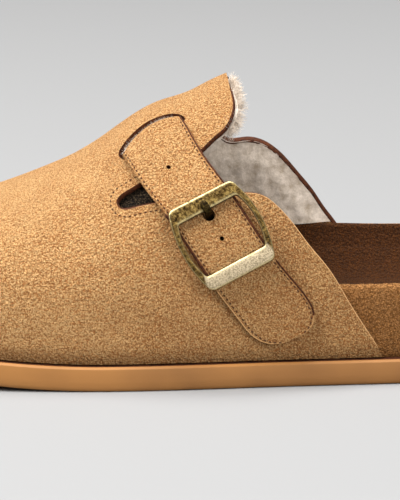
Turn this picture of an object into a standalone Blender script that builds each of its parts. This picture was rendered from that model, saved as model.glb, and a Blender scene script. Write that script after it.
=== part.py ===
"""Clog slipper for the left foot: closed toe, open heel, one buckled strap.

The toe points to -X, the outer side with the buckle to -Y, and the outsole
stands on z = 0 with the middle of its length and width at the origin.
"""
import math

import bmesh
import bpy
import numpy as np
from mathutils import Vector

# Driving sizes of the last and the sole, in metres
LENGTH = 0.258
BALL_WIDTH = 0.098
INSTEP_HEIGHT = 0.075
OUTSOLE_THICKNESS = 0.0082
TOE_SPRING = 0.0105
HEEL_RISE = 0.0015
WELT = 0.0026
SIDE_BULGE = 0.0015

# Walls and fits
UPPER_WALL = 0.0020
CLEARANCE = 0.0003
STRAP_GAP = 0.0005
INSOLE_THICKNESS = 0.0016

# Outsole side and tread
SOLE_BOTTOM_EDGE = 0.0014
SOLE_LIP_HEIGHT = 0.0016
SOLE_LIP_STEP = 0.0005
GROOVE_WIDTH = 0.0028
GROOVE_DEPTH = 0.0016
GROOVE_PITCH = 0.0105
GROOVE_SIDE_MARGIN = 0.0090
GROOVE_BOW = 0.0060
GROOVE_STEPS = 6
FOREFOOT_GROOVE_STATION = 0.17
FOREFOOT_GROOVES = 7
HEEL_GROOVE_STATION = 0.76
HEEL_GROOVES = 5

# Footbed
RIM_HEIGHT = 0.0285
RIM_WIDTH = 0.0034
BASIN_FLOOR = 0.0095

# Strap and buckle. The strap has its own directions over the upper's outer face:
# along runs from the buckle's middle to the free end, across to the heel side
STRAP_WIDTH = 0.0205
STRAP_THICKNESS = 0.0017
STRAP_LEAN = math.radians(59.9)
CREST_SHEAR = 0.374
STRAP_TAIL = 0.0080
STRAP_TIP = 0.0355
STRAP_TIP_ROUND = 0.0105
STRAP_TIP_FULLNESS = 2.6
STRAP_HOLE = 0.0013
BUCKLE_STATION = 0.4962
BUCKLE_DROP = 0.0646
BUCKLE_LENGTH = 0.0252
BUCKLE_WINDOW = 0.0200
BUCKLE_BAR = 0.0045
BUCKLE_SIDE_BAR = 0.00075
BUCKLE_BAR_THICKNESS = 0.0019
BUCKLE_BAR_EDGE = 0.0006
BUCKLE_CORNER = 0.0014
BUCKLE_OUTER_BOW = 0.0026
BUCKLE_INNER_BOW = 0.0017
BUCKLE_RISE_BEFORE = 0.0120
BUCKLE_RISE_AFTER = 0.0080
PRONG_WIDTH = 0.0024
PRONG_THICKNESS = 0.0012
PRONG_LAP = 0.0028
SLOT_BACK = 0.0470
SLOT_WIDTH = 0.0058
SLOT_LENGTH = 0.0240
SLOT_MIDDLE = 0.0009
SLOT_PEAK = 0.0034
SLOT_SAG = 0.0033
SLOT_END_FULLNESS = 12
SLOT_STEPS = 18
SLOT_TOOL_DEPTH = 2.2 * UPPER_WALL
SLOT_APPROACH = 0.001
SLOT_STATIONS = 11
STATION_SPACING = 0.0008

# Strap's plan, all as shares of STRAP_WIDTH: its middle line wanders a little
# from the buckle's, and its half width changes with the cut of the leather
STRAP_COLUMNS = ("along", "middle", "half")
STRAP_PLAN = (
    (-3.00, 0.044, 0.512),
    (-2.10, 0.030, 0.516),
    (-1.27, -0.085, 0.522),
    (-0.78, -0.090, 0.518),
    (-0.29, -0.040, 0.502),
    (0.34, 0.020, 0.496),
    (0.63, 0.048, 0.510),
    (1.12, 0.150, 0.535),
    (1.76, 0.235, 0.546),
)
HOLE_COLUMNS = ("along", "across")
STRAP_HOLES = (
    (-0.0249, -0.0030),
    (0.0008, -0.0003),
)

# Outline of the sole, toe to heel: station as a share of LENGTH, and each
# side's distance from the long axis as a share of BALL_WIDTH
OUTLINE_COLUMNS = ("station", "outer", "inner")
OUTLINE = (
    (0.000, -0.092, 0.092),
    (0.019, 0.140, 0.300),
    (0.050, 0.258, 0.398),
    (0.100, 0.364, 0.463),
    (0.180, 0.441, 0.504),
    (0.270, 0.480, 0.515),
    (0.360, 0.495, 0.505),
    (0.450, 0.485, 0.464),
    (0.550, 0.459, 0.403),
    (0.650, 0.439, 0.367),
    (0.750, 0.418, 0.357),
    (0.840, 0.383, 0.347),
    (0.920, 0.306, 0.291),
    (0.960, 0.224, 0.219),
    (1.000, 0.005, -0.005),
)

# Top line of the upper: station as a share of LENGTH, height over the outsole
# as a share of INSTEP_HEIGHT, shift to the inner side as a share of BALL_WIDTH,
# and how full the sections are at the side and on top, where 2 is an ellipse
CREST_COLUMNS = ("station", "height", "shift", "side", "top")
CREST = (
    (0.160, 0.530, 0.051, 3.00, 2.55),
    (0.220, 0.587, 0.051, 2.70, 2.42),
    (0.300, 0.691, 0.051, 2.50, 2.30),
    (0.360, 0.803, 0.046, 2.35, 2.20),
    (0.400, 0.902, 0.041, 2.30, 2.12),
    (0.430, 0.959, 0.041, 2.27, 2.07),
    (0.470, 1.006, 0.041, 2.22, 2.03),
    (0.490, 1.042, 0.041, 2.20, 2.02),
    (0.520, 1.088, 0.041, 2.18, 2.00),
    (0.600, 1.187, 0.031, 2.12, 2.00),
    (0.800, 1.280, 0.000, 2.10, 2.00),
)
TOE_SLOPE = 0.33

# Edges of the upper seen from the side: station as a share of LENGTH, height
# over the outsole as a share of INSTEP_HEIGHT. The outer edge runs down the
# throat flap, round the slit's keyhole and down the quarter to the feather line
EDGE_COLUMNS = ("station", "height")
OUTER_EDGE = (
    (0.5095, 1.300),
    (0.5120, 1.150),
    (0.5147, 1.040),
    (0.5163, 0.987),
    (0.5132, 0.951),
    (0.5047, 0.907),
    (0.4934, 0.877),
    (0.4752, 0.824),
    (0.4419, 0.763),
    (0.4027, 0.701),
    (0.3891, 0.674),
    (0.3795, 0.652),
    (0.3757, 0.630),
    (0.3785, 0.611),
    (0.3960, 0.611),
    (0.4176, 0.627),
    (0.4729, 0.646),
    (0.5155, 0.664),
    (0.5322, 0.666),
    (0.5488, 0.653),
    (0.5632, 0.617),
    (0.5795, 0.557),
    (0.6004, 0.461),
    (0.6244, 0.359),
    (0.6465, 0.232),
    (0.6678, 0.115),
    (0.6850, 0.020),
    (0.7000, -0.080),
)
INNER_EDGE = (
    (0.5095, 1.300),
    (0.5120, 1.150),
    (0.5147, 1.040),
    (0.5155, 0.987),
    (0.5110, 0.920),
    (0.5070, 0.850),
    (0.5090, 0.790),
    (0.5220, 0.748),
    (0.5442, 0.752),
    (0.5655, 0.735),
    (0.5853, 0.684),
    (0.6062, 0.600),
    (0.6256, 0.516),
    (0.6399, 0.441),
    (0.6539, 0.376),
    (0.6700, 0.270),
    (0.6850, 0.150),
    (0.6980, 0.020),
    (0.7080, -0.080),
)

# Rim of the footbed on each side as shares of RIM_HEIGHT, and the seat inside
# as a share of BASIN_FLOOR, both over the outsole
RIM_COLUMNS = ("station", "outer", "inner", "floor")
RIM = (
    (0.000, 0.36, 0.36, 0.95),
    (0.120, 0.34, 0.34, 0.85),
    (0.300, 0.38, 0.42, 0.80),
    (0.450, 0.56, 0.70, 0.88),
    (0.580, 0.75, 0.98, 1.10),
    (0.700, 0.76, 1.00, 1.15),
    (0.820, 0.86, 1.02, 1.05),
    (0.930, 1.06, 1.08, 1.15),
    (1.000, 1.12, 1.12, 1.30),
)
BASIN_STEEPNESS = 4.5

# How finely the shapes are cut into facets
OUTLINE_STEPS = 36
INSOLE_SHARES = (0.11, 0.20, 0.36, 0.62, 0.985)
UPPER_STEPS = 41
SECTION_STEPS = 13
EDGE_STEPS = 70
STRAP_STEPS = 34
STRAP_TIP_STEPS = 7
STRAP_TIP_REACH = 0.96
STRAP_ROWS = 7
# Station of the last section of the upper's shell, behind both cut edges
SHELL_LAST_STATION = 0.735
# Stations where the strap and buckle are laid on the outer face, and the
# samples that the sections there are measured with
STRAP_REGION = (0.30, 0.68)
TURN_REGION = (0.22, 0.75)
STRAP_REGION_SECTIONS = 96
TURN_SAMPLES = 600
RISE_SAMPLES = 220
FRAME_SIDE_STEPS = 7
CUTTER_OVERLAP = 0.0005


def spline(places, values):
    """Natural cubic through a table's points."""
    places = np.asarray(places, float)
    values = np.asarray(values, float)
    count = len(places)
    gap = np.diff(places)
    matrix = np.eye(count)
    right = np.zeros(count)
    for i in range(1, count - 1):
        matrix[i, i - 1] = gap[i - 1]
        matrix[i, i] = 2 * (gap[i - 1] + gap[i])
        matrix[i, i + 1] = gap[i]
        right[i] = 6 * ((values[i + 1] - values[i]) / gap[i] - (values[i] - values[i - 1]) / gap[i - 1])
    bend = np.linalg.solve(matrix, right)

    def read(place):
        place = np.clip(np.asarray(place, float), places[0], places[-1])
        i = np.clip(np.searchsorted(places, place) - 1, 0, count - 2)
        before = place - places[i]
        after = places[i + 1] - place
        curve = (bend[i] * after ** 3 + bend[i + 1] * before ** 3) / (6 * gap[i])
        start = (values[i] / gap[i] - bend[i] * gap[i] / 6) * after
        end = (values[i + 1] / gap[i] - bend[i + 1] * gap[i] / 6) * before
        return curve + start + end

    return read


def column(columns, rows, name):
    place = columns.index(name)
    return np.array([row[place] for row in rows])


def turn_of(share):
    """Angle whose cosine runs from toe to heel, so that both ends stay round."""
    return np.arccos(1 - 2 * np.asarray(share, float))


def outline_side(name):
    turns = turn_of(column(OUTLINE_COLUMNS, OUTLINE, "station"))
    return spline(turns, column(OUTLINE_COLUMNS, OUTLINE, name))


def along_crest(name):
    return spline(column(CREST_COLUMNS, CREST, "station"), column(CREST_COLUMNS, CREST, name))


def along_rim(name):
    return spline(column(RIM_COLUMNS, RIM, "station"), column(RIM_COLUMNS, RIM, name))


outer_side = outline_side("outer")
inner_side = outline_side("inner")
crest_height = along_crest("height")
crest_shift = along_crest("shift")
side_fullness = along_crest("side")
top_fullness = along_crest("top")
outer_rim = along_rim("outer")
inner_rim = along_rim("inner")
basin_floor = along_rim("floor")


def share_of(x):
    return x / LENGTH + 0.5


def outline(turn, inset=0.0):
    """Point of the sole's outline; a negative turn is on the outer side, 0 is the toe."""
    turn = np.asarray(turn, float)

    def edge(at):
        x = -LENGTH / 2 * np.cos(at)
        y = np.where(at < 0, -outer_side(np.abs(at)), inner_side(np.abs(at))) * BALL_WIDTH
        return x, y

    x, y = edge(turn)
    step = 1e-3
    x_before, y_before = edge(turn - step)
    x_after, y_after = edge(turn + step)
    along_x = x_after - x_before
    along_y = y_after - y_before
    size = np.hypot(along_x, along_y)
    return x + inset * along_y / size, y - inset * along_x / size


def lift_of(x):
    """Height of the outsole's underside: toe spring, flat middle, slight heel rise."""
    share = share_of(x)
    toe = np.clip((0.36 - share) / 0.36, 0, None)
    heel = np.clip((share - 0.94) / 0.06, 0, None)
    return TOE_SPRING * toe ** 1.9 + HEEL_RISE * heel ** 2


def sole_top(x):
    return lift_of(x) + OUTSOLE_THICKNESS


def last_point(turn, rise):
    """Outer face of the upper: rise 0 is the feather line, 1 the crest."""
    turn, rise = np.broadcast_arrays(np.asarray(turn, float), np.asarray(rise, float))
    foot_x, foot_y = outline(turn, WELT)
    share = np.clip((1 - np.cos(turn)) / 2, CREST[0][0], CREST[-1][0])
    top_x = (share - 0.5) * LENGTH
    top_y = crest_shift(share) * BALL_WIDTH
    base = sole_top(foot_x) + CLEARANCE
    top = OUTSOLE_THICKNESS + crest_height(share) * INSTEP_HEIGHT
    angle = rise * math.pi / 2
    inward = 1 - np.clip(np.cos(angle), 0, 1) ** (2 / top_fullness(share))
    upward = np.sin(angle) ** (2 / side_fullness(share))
    reach = np.hypot(top_x - foot_x, top_y - foot_y)
    inward = inward - SIDE_BULGE / reach * np.sin(2 * angle) * (1 - rise)
    x = foot_x + (top_x - foot_x) * inward
    y = foot_y + (top_y - foot_y) * inward
    toe_drop = TOE_SLOPE * (1 - inward) * np.clip(top_x - foot_x, 0, None) * upward
    return np.stack([x, y, base + (top - base) * upward - toe_drop], -1)


def rim_height(turn):
    """Height of the footbed's rim, even across the toe and the heel."""
    x, _ = outline(turn)
    share = share_of(x)
    mean = (outer_rim(share) + inner_rim(share)) / 2
    own = np.where(np.asarray(turn) < 0, outer_rim(share), inner_rim(share))
    ends = np.clip(np.minimum(share, 1 - share) / 0.12, 0, 1)
    return sole_top(x) + RIM_HEIGHT * (mean + (own - mean) * ends)


def inside_face(turns, heights, depth):
    """Points so deep under the outer face of the last, at one height for each turn."""
    rises = np.linspace(0.002, 0.97, 90)
    step = 1e-3
    found = []
    for turn, height in zip(turns, heights):
        points = last_point(turn, rises)
        along = last_point(turn + step, rises) - last_point(turn - step, rises)
        upward = last_point(turn, rises + step) - last_point(turn, rises - step)
        normal = np.cross(along, upward)
        normal = normal / np.linalg.norm(normal, axis=1)[:, None]
        inner = points + normal * depth
        if np.hypot(*inner[0, :2]) > np.hypot(*points[0, :2]):
            inner = points - normal * depth
        place = max(height, inner[0, 2])
        found.append([np.interp(place, inner[:, 2], inner[:, k]) for k in (0, 1)])
    return np.array(found)


def inward(turns, distance):
    """Step square to the sole's outline, towards its middle."""
    near = np.stack(outline(turns, 0.0), -1)
    far = np.stack(outline(turns, 0.001), -1)
    return (far - near) / 0.001 * distance


def rim_line(turns, step_in):
    """Plan of the footbed's rim, so far in from its outer wall."""
    wall = inside_face(turns, rim_height(turns), UPPER_WALL + 2 * CLEARANCE)
    return wall + inward(turns, step_in)


SPINE_START = 0.14
SPINE_END = 0.86


def seat_ring(turns, rim_plan, share_in, raise_by=0.0):
    """Loop of the foot's seat: share_in 0 is just inside the rim, 1 the long spine."""
    share = np.clip(share_of(rim_plan[:, 0]), SPINE_START, SPINE_END)
    spine_x = (share - 0.5) * LENGTH
    spine_y = (inner_side(turn_of(share)) - outer_side(turn_of(share))) * BALL_WIDTH / 2
    x = rim_plan[:, 0] + (spine_x - rim_plan[:, 0]) * share_in
    y = rim_plan[:, 1] + (spine_y - rim_plan[:, 1]) * share_in
    floor = sole_top(x) + basin_floor(share_of(x)) * BASIN_FLOOR
    rim = rim_height(turns) - RIM_WIDTH / 2
    z = floor + (rim - floor) * (1 - share_in) ** BASIN_STEEPNESS + raise_by
    return np.stack([x, y, z], -1)


def material(name, colour, roughness, metallic=0.0):
    made = bpy.data.materials.new(name)
    made.use_nodes = True
    shader = made.node_tree.nodes["Principled BSDF"]
    shader.inputs["Base Color"].default_value = (*colour, 1)
    shader.inputs["Roughness"].default_value = roughness
    shader.inputs["Metallic"].default_value = metallic
    return made


def add_object(name, mesh_data, surface=None):
    mesh = bpy.data.meshes.new(name)
    mesh_data.to_mesh(mesh)
    mesh_data.free()
    made = bpy.data.objects.new(name, mesh)
    bpy.context.collection.objects.link(made)
    if surface:
        mesh.materials.append(surface)
        mesh.shade_smooth()
        mesh.set_sharp_from_angle(angle=math.radians(40))
    return made


def cut_with(target, cutter):
    cutter.hide_render = True
    cutter.display_type = "WIRE"
    cut = target.modifiers.new("cut " + cutter.name, "BOOLEAN")
    cut.operation = "DIFFERENCE"
    cut.solver = "EXACT"
    cut.object = cutter


def close_up(mesh_data):
    bmesh.ops.remove_doubles(mesh_data, verts=mesh_data.verts, dist=1e-6)
    bmesh.ops.recalc_face_normals(mesh_data, faces=mesh_data.faces)
    return mesh_data


def rings_body(rings):
    """Closed body from loops of points; the first and last loop are filled across."""
    body = bmesh.new()
    loops = []
    for ring in rings:
        loops.append([body.verts.new(point) for point in ring])
    count = len(loops[0])
    for lower, upper in zip(loops, loops[1:]):
        for i in range(count):
            j = (i + 1) % count
            body.faces.new((lower[i], lower[j], upper[j], upper[i]))
    for loop in (loops[0], loops[-1]):
        for i in range(count // 2 - 1):
            body.faces.new((loop[i], loop[i + 1], loop[count - 2 - i], loop[count - 1 - i]))
    return close_up(body)


def sole_turns():
    """Turns round the whole outline, paired so that both sides share each station."""
    half = (np.arange(OUTLINE_STEPS) + 0.5) * math.pi / OUTLINE_STEPS
    return np.concatenate([-half[::-1], half])


def ring_at(turns, inset, height):
    x, y = outline(turns, inset)
    return np.stack([x, y, height(x)], -1)


def build_outsole(surface):
    turns = sole_turns()
    lip = OUTSOLE_THICKNESS - SOLE_LIP_HEIGHT
    rings = [
        ring_at(turns, SOLE_BOTTOM_EDGE, lift_of),
        ring_at(turns, SOLE_BOTTOM_EDGE * 0.25, lambda x: lift_of(x) + SOLE_BOTTOM_EDGE * 0.4),
        ring_at(turns, 0.0, lambda x: lift_of(x) + SOLE_BOTTOM_EDGE),
        ring_at(turns, SOLE_LIP_STEP, lambda x: lift_of(x) + lip),
        ring_at(turns, SOLE_LIP_STEP * 0.2, lambda x: lift_of(x) + lip + SOLE_LIP_STEP),
        ring_at(turns, SOLE_LIP_STEP * 0.4, lambda x: sole_top(x) - SOLE_LIP_STEP),
        ring_at(turns, SOLE_LIP_STEP * 1.6, sole_top),
    ]
    outsole = add_object("outsole", rings_body(rings), surface)
    starts = ((FOREFOOT_GROOVE_STATION, FOREFOOT_GROOVES), (HEEL_GROOVE_STATION, HEEL_GROOVES))
    cutter = bmesh.new()
    for station, count in starts:
        for i in range(count):
            x = (station - 0.5) * LENGTH + i * GROOVE_PITCH
            add_groove(cutter, x)
    tool = add_object("tread_cutter", cutter)
    cut_with(outsole, tool)
    return outsole


def add_groove(cutter, x):
    share = share_of(x)
    left = -outer_side(turn_of(share)) * BALL_WIDTH + GROOVE_SIDE_MARGIN
    right = inner_side(turn_of(share)) * BALL_WIDTH - GROOVE_SIDE_MARGIN
    steps = GROOVE_STEPS
    rows = []
    for i in range(steps + 1):
        y = left + (right - left) * i / steps
        bow = GROOVE_BOW * math.cos(math.pi * (i / steps - 0.5))
        centre = x - bow
        top = float(lift_of(centre)) + GROOVE_DEPTH
        rows.append([
            cutter.verts.new((centre - GROOVE_WIDTH / 2, y, -GROOVE_DEPTH)),
            cutter.verts.new((centre + GROOVE_WIDTH / 2, y, -GROOVE_DEPTH)),
            cutter.verts.new((centre + GROOVE_WIDTH / 2, y, top)),
            cutter.verts.new((centre - GROOVE_WIDTH / 2, y, top)),
        ])
    faces = [cutter.faces.new(rows[0]), cutter.faces.new(list(reversed(rows[-1])))]
    for first, second in zip(rows, rows[1:]):
        for k in range(4):
            m = (k + 1) % 4
            faces.append(cutter.faces.new((first[k], second[k], second[m], first[m])))
    bmesh.ops.recalc_face_normals(cutter, faces=faces)


def build_footbed(surface):
    turns = sole_turns()
    top = rim_height(turns)
    roll = RIM_WIDTH / 2
    rings = []
    for share_up in (0.0, 0.35, 0.7):
        base = sole_top(outline(turns)[0]) + CLEARANCE
        heights = base + (top - roll - base) * share_up
        plan = inside_face(turns, heights, UPPER_WALL + 2 * CLEARANCE)
        if share_up == 0:
            heights = sole_top(plan[:, 0]) + CLEARANCE
        rings.append(np.column_stack([plan, heights]))
    for step_in, drop in ((0.0, roll), (roll * 0.3, roll * 0.3), (roll, 0.0), (roll * 1.7, roll * 0.3)):
        rings.append(np.column_stack([rim_line(turns, step_in), top - drop]))
    inner_plan = rim_line(turns, RIM_WIDTH)
    for share_in in (0.0, 0.04) + INSOLE_SHARES:
        rings.append(seat_ring(turns, inner_plan, share_in))
    return add_object("footbed", rings_body(rings), surface)


def build_insole(surface):
    turns = sole_turns()
    inner_plan = rim_line(turns, RIM_WIDTH)
    gap = 1.6 * CLEARANCE
    under = [seat_ring(turns, inner_plan, share, gap) for share in INSOLE_SHARES]
    top = [seat_ring(turns, inner_plan, share, gap + INSOLE_THICKNESS) for share in INSOLE_SHARES]
    return add_object("insole", rings_body(under[::-1] + top), surface)


def build_upper(surface):
    stop = turn_of(SHELL_LAST_STATION)
    turns = np.linspace(-stop, stop, 2 * UPPER_STEPS + 1)
    rises = np.linspace(0, 1, SECTION_STEPS) ** 1.15
    skin = bmesh.new()
    points = last_point(turns[:, None], rises[None, :])
    rows = []
    for line in points:
        rows.append([skin.verts.new(point) for point in line])
    for first, second in zip(rows, rows[1:]):
        for j in range(SECTION_STEPS - 1):
            skin.faces.new((first[j], second[j], second[j + 1], first[j + 1]))
    bmesh.ops.remove_doubles(skin, verts=skin.verts, dist=2e-5)
    skin.normal_update()
    outward = {vert: vert.normal.copy() for vert in skin.verts}
    probe = max(skin.verts, key=lambda vert: vert.co.z)
    sign = 1 if outward[probe].z > 0 else -1
    floor_level = {vert for edge in skin.edges if edge.is_boundary for vert in edge.verts}
    copies = {}
    for vert in list(skin.verts):
        normal = outward[vert] * sign
        point = vert.co - normal * UPPER_WALL
        if vert in floor_level:
            flat = Vector((normal.x, normal.y, 0)).normalized()
            point = vert.co - flat * UPPER_WALL
        copies[vert] = skin.verts.new(point)
    outer_faces = list(skin.faces)
    rim_edges = [edge for edge in skin.edges if edge.is_boundary]
    for face in outer_faces:
        skin.faces.new([copies[vert] for vert in reversed(face.verts)])
    for edge in rim_edges:
        first, second = edge.verts
        skin.faces.new((first, second, copies[second], copies[first]))
    bmesh.ops.recalc_face_normals(skin, faces=skin.faces)
    upper = add_object("upper", skin, surface)
    cut_with(upper, edge_cutter("outer_edge_cutter", OUTER_EDGE, -1))
    cut_with(upper, edge_cutter("inner_edge_cutter", INNER_EDGE, 1))
    cut_with(upper, slot_cutter())
    return upper


def edge_curve(rows, steps):
    """Smooth curve through a table of edge points, in metres."""
    x = (column(EDGE_COLUMNS, rows, "station") - 0.5) * LENGTH
    z = OUTSOLE_THICKNESS + column(EDGE_COLUMNS, rows, "height") * INSTEP_HEIGHT
    run = np.concatenate([[0], np.cumsum(np.hypot(np.diff(x), np.diff(z)))])
    at = np.linspace(0, run[-1], steps)
    return spline(run, x)(at), spline(run, z)(at)


def edge_cutter(name, rows, side):
    """Block behind an edge of the upper, cut straight across from one side."""
    x, z = edge_curve(rows, EDGE_STEPS)
    crest_y = crest_shift(0.51) * BALL_WIDTH - side * CUTTER_OVERLAP
    far = LENGTH * 0.4
    outline_points = list(zip(x, z)) + [(far, z[-1]), (far, z[0])]
    block = bmesh.new()
    near_face = [block.verts.new((px, crest_y, pz)) for px, pz in outline_points]
    side_face = [block.verts.new((px, side * BALL_WIDTH, pz)) for px, pz in outline_points]
    block.faces.new(near_face)
    block.faces.new(list(reversed(side_face)))
    count = len(outline_points)
    for i in range(count):
        j = (i + 1) % count
        block.faces.new((near_face[i], near_face[j], side_face[j], side_face[i]))
    bmesh.ops.recalc_face_normals(block, faces=block.faces)
    return add_object(name, block)


def section_table():
    """Sections of the outer face at even stations, by length down from the crest."""
    stations = np.linspace(*STRAP_REGION, STRAP_REGION_SECTIONS)
    turns = -np.linspace(*turn_of(np.array(TURN_REGION)), TURN_SAMPLES)
    foot_x = outline(turns, WELT)[0]
    table = []
    for share in stations:
        turn = np.interp((share - 0.5) * LENGTH, foot_x, turns)
        points = last_point(turn, np.linspace(1, 0, RISE_SAMPLES))
        steps = np.linalg.norm(np.diff(points, axis=0), axis=1)
        table.append((np.concatenate([[0], np.cumsum(steps)]), points))
    return (stations - 0.5) * LENGTH, table


SECTION_X, SECTIONS = section_table()
STRAP_ALONG = np.array((math.cos(STRAP_LEAN), math.sin(STRAP_LEAN)))
STRAP_ACROSS = np.array((math.sin(STRAP_LEAN), -math.cos(STRAP_LEAN)))
BUCKLE_X = (BUCKLE_STATION - 0.5) * LENGTH


def skin_point(x, drop):
    """Point of the outer side at station x, so far down from the crest."""
    i = int(np.clip(np.searchsorted(SECTION_X, x) - 1, 0, len(SECTION_X) - 2))
    part = (x - SECTION_X[i]) / (SECTION_X[i + 1] - SECTION_X[i])
    found = []
    for run, points in SECTIONS[i:i + 2]:
        found.append([np.interp(drop, run, points[:, k]) for k in range(3)])
    return np.array(found[0]) * (1 - part) + np.array(found[1]) * part


def strap_point(along, across, lift):
    """Point over the upper in the strap's own directions, from the buckle's middle."""
    def on_skin(a, b):
        run, fall = a * STRAP_ALONG + b * STRAP_ACROSS
        return skin_point(BUCKLE_X + run, BUCKLE_DROP + fall + CREST_SHEAR * run)

    step = 0.0012
    along_face = on_skin(along + step, across) - on_skin(along - step, across)
    across_face = on_skin(along, across + step) - on_skin(along, across - step)
    normal = np.cross(across_face, along_face)
    normal = normal / np.linalg.norm(normal)
    if normal[1] > 0:
        normal = -normal
    return on_skin(along, across) + normal * lift


STRAP_LIFT_AT_BUCKLE = 2 * CLEARANCE + PRONG_THICKNESS
BAR_LIFT = STRAP_LIFT_AT_BUCKLE + STRAP_THICKNESS + CLEARANCE


def smooth(value):
    value = min(max(value, 0.0), 1.0)
    return value * value * (3 - 2 * value)


def slot_bow(across):
    """How far the arc of the slot has run forward at a place across the strap."""
    return SLOT_SAG * ((across - SLOT_PEAK) / (SLOT_LENGTH / 2)) ** 2


def strap_lift(along, across=0.0):
    """Height of the strap's underside over the upper's outer face."""
    inside = -(UPPER_WALL + STRAP_GAP + STRAP_THICKNESS)
    out = smooth((along + SLOT_BACK - slot_bow(across)) / SLOT_WIDTH)
    lift = inside + (STRAP_GAP - inside) * out
    bar = BUCKLE_LENGTH / 2
    rise = smooth((along + bar) / BUCKLE_RISE_BEFORE + 1) * smooth((bar - along) / BUCKLE_RISE_AFTER + 1)
    return lift + (STRAP_LIFT_AT_BUCKLE - STRAP_GAP) * rise


def strap_sides(along):
    """Middle and half width of the strap at a place along it."""
    places = column(STRAP_COLUMNS, STRAP_PLAN, "along")
    middle = spline(places, column(STRAP_COLUMNS, STRAP_PLAN, "middle"))(along / STRAP_WIDTH)
    half = spline(places, column(STRAP_COLUMNS, STRAP_PLAN, "half"))(along / STRAP_WIDTH)
    past = max(along - (STRAP_TIP - STRAP_TIP_ROUND), 0.0) / STRAP_TIP_ROUND
    left = max(1 - past ** STRAP_TIP_FULLNESS, 0.0) ** (1 / STRAP_TIP_FULLNESS)
    return float(middle) * STRAP_WIDTH, float(half) * STRAP_WIDTH * left


def build_strap(surface):
    start = -(SLOT_BACK + STRAP_TAIL)
    tip_start = STRAP_TIP - STRAP_TIP_ROUND
    straight = np.linspace(start, tip_start, STRAP_STEPS)
    slot_part = np.linspace(-SLOT_BACK - SLOT_APPROACH, -SLOT_BACK + SLOT_WIDTH + SLOT_SAG, SLOT_STATIONS)
    round_part = np.linspace(0, math.pi / 2, STRAP_TIP_STEPS + 1)[1:]
    tip = tip_start + STRAP_TIP_ROUND * np.sin(round_part * STRAP_TIP_REACH)
    before = straight < slot_part[0] - STATION_SPACING
    clear = straight[before | (straight > slot_part[-1] + STATION_SPACING)]
    places = np.sort(np.concatenate([clear, slot_part, tip]))
    body = bmesh.new()
    rings = []
    for along in places:
        middle, half = strap_sides(along)
        ring = []
        for across in np.linspace(middle - half, middle + half, STRAP_ROWS):
            ring.append(body.verts.new(strap_point(along, across, strap_lift(along, across))))
        for across in np.linspace(middle + half, middle - half, STRAP_ROWS):
            lift = strap_lift(along, across) + STRAP_THICKNESS
            ring.append(body.verts.new(strap_point(along, across, lift)))
        rings.append(ring)
    for first, second in zip(rings, rings[1:]):
        for k in range(len(first)):
            m = (k + 1) % len(first)
            body.faces.new((first[k], first[m], second[m], second[k]))
    for ring in (rings[0], rings[-1]):
        last = 2 * STRAP_ROWS - 1
        for k in range(STRAP_ROWS - 1):
            body.faces.new((ring[k], ring[k + 1], ring[last - 1 - k], ring[last - k]))
    bmesh.ops.recalc_face_normals(body, faces=body.faces)
    strap = add_object("strap", body, surface)
    cut_with(strap, hole_cutter())
    return strap


def pin(body, along, across, radius, low, high, sides=12):
    """Round pin square to the upper's outer face."""
    base = Vector(strap_point(along, across, low))
    axis = (Vector(strap_point(along, across, high)) - base).normalized()
    side = axis.orthogonal().normalized()
    other = axis.cross(side)
    loops = []
    for height in (low, high):
        loop = []
        for i in range(sides):
            angle = 2 * math.pi * i / sides
            offset = side * math.cos(angle) * radius + other * math.sin(angle) * radius
            loop.append(body.verts.new(base + axis * (height - low) + offset))
        loops.append(loop)
    faces = [body.faces.new(loops[0]), body.faces.new(list(reversed(loops[1])))]
    for i in range(sides):
        j = (i + 1) % sides
        faces.append(body.faces.new((loops[0][i], loops[1][i], loops[1][j], loops[0][j])))
    bmesh.ops.recalc_face_normals(body, faces=faces)


PRONG_HOLE_PLACE = -(BUCKLE_LENGTH / 2 - BUCKLE_BAR - PRONG_WIDTH * 0.5)


def hole_cutter():
    tool = bmesh.new()
    low = -STRAP_THICKNESS
    high = BAR_LIFT + STRAP_THICKNESS
    along_places = column(HOLE_COLUMNS, STRAP_HOLES, "along")
    for along, across in zip(along_places, column(HOLE_COLUMNS, STRAP_HOLES, "across")):
        pin(tool, along, across, STRAP_HOLE / 2, low, high)
    pin(tool, PRONG_HOLE_PLACE, 0.0, PRONG_WIDTH / 2 + 2 * CLEARANCE, low, high)
    return add_object("strap_hole_cutter", tool)


def slot_cutter():
    """Crescent through the upper's wall, where the strap comes out."""
    steps = SLOT_STEPS
    half = SLOT_LENGTH / 2
    share = np.cos(np.linspace(0, math.pi, steps + 1))
    across = SLOT_MIDDLE + half * share
    width = SLOT_WIDTH * np.sqrt(np.clip(1 - np.abs(share) ** SLOT_END_FULLNESS, 0, 1))
    centre = -SLOT_BACK + slot_bow(across) + SLOT_WIDTH / 2
    back = list(zip(centre - width / 2, across))
    front = list(zip(centre + width / 2, across))
    outline_points = back + front[::-1][1:-1]
    tool = bmesh.new()
    low = [tool.verts.new(strap_point(a, b, -SLOT_TOOL_DEPTH)) for a, b in outline_points]
    high = [tool.verts.new(strap_point(a, b, UPPER_WALL)) for a, b in outline_points]
    count = len(outline_points)
    for i in range(count):
        j = (i + 1) % count
        tool.faces.new((low[i], low[j], high[j], high[i]))
    for loop in (low, high):
        for i in range(steps):
            first, last = loop[i], loop[i + 1]
            facing = loop[(count - i) % count]
            facing_next = loop[count - i - 1]
            corners = []
            for vert in (first, last, facing_next, facing):
                if vert not in corners:
                    corners.append(vert)
            tool.faces.new(corners)
    bmesh.ops.recalc_face_normals(tool, faces=tool.faces)
    return add_object("slot_cutter", tool)


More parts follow.
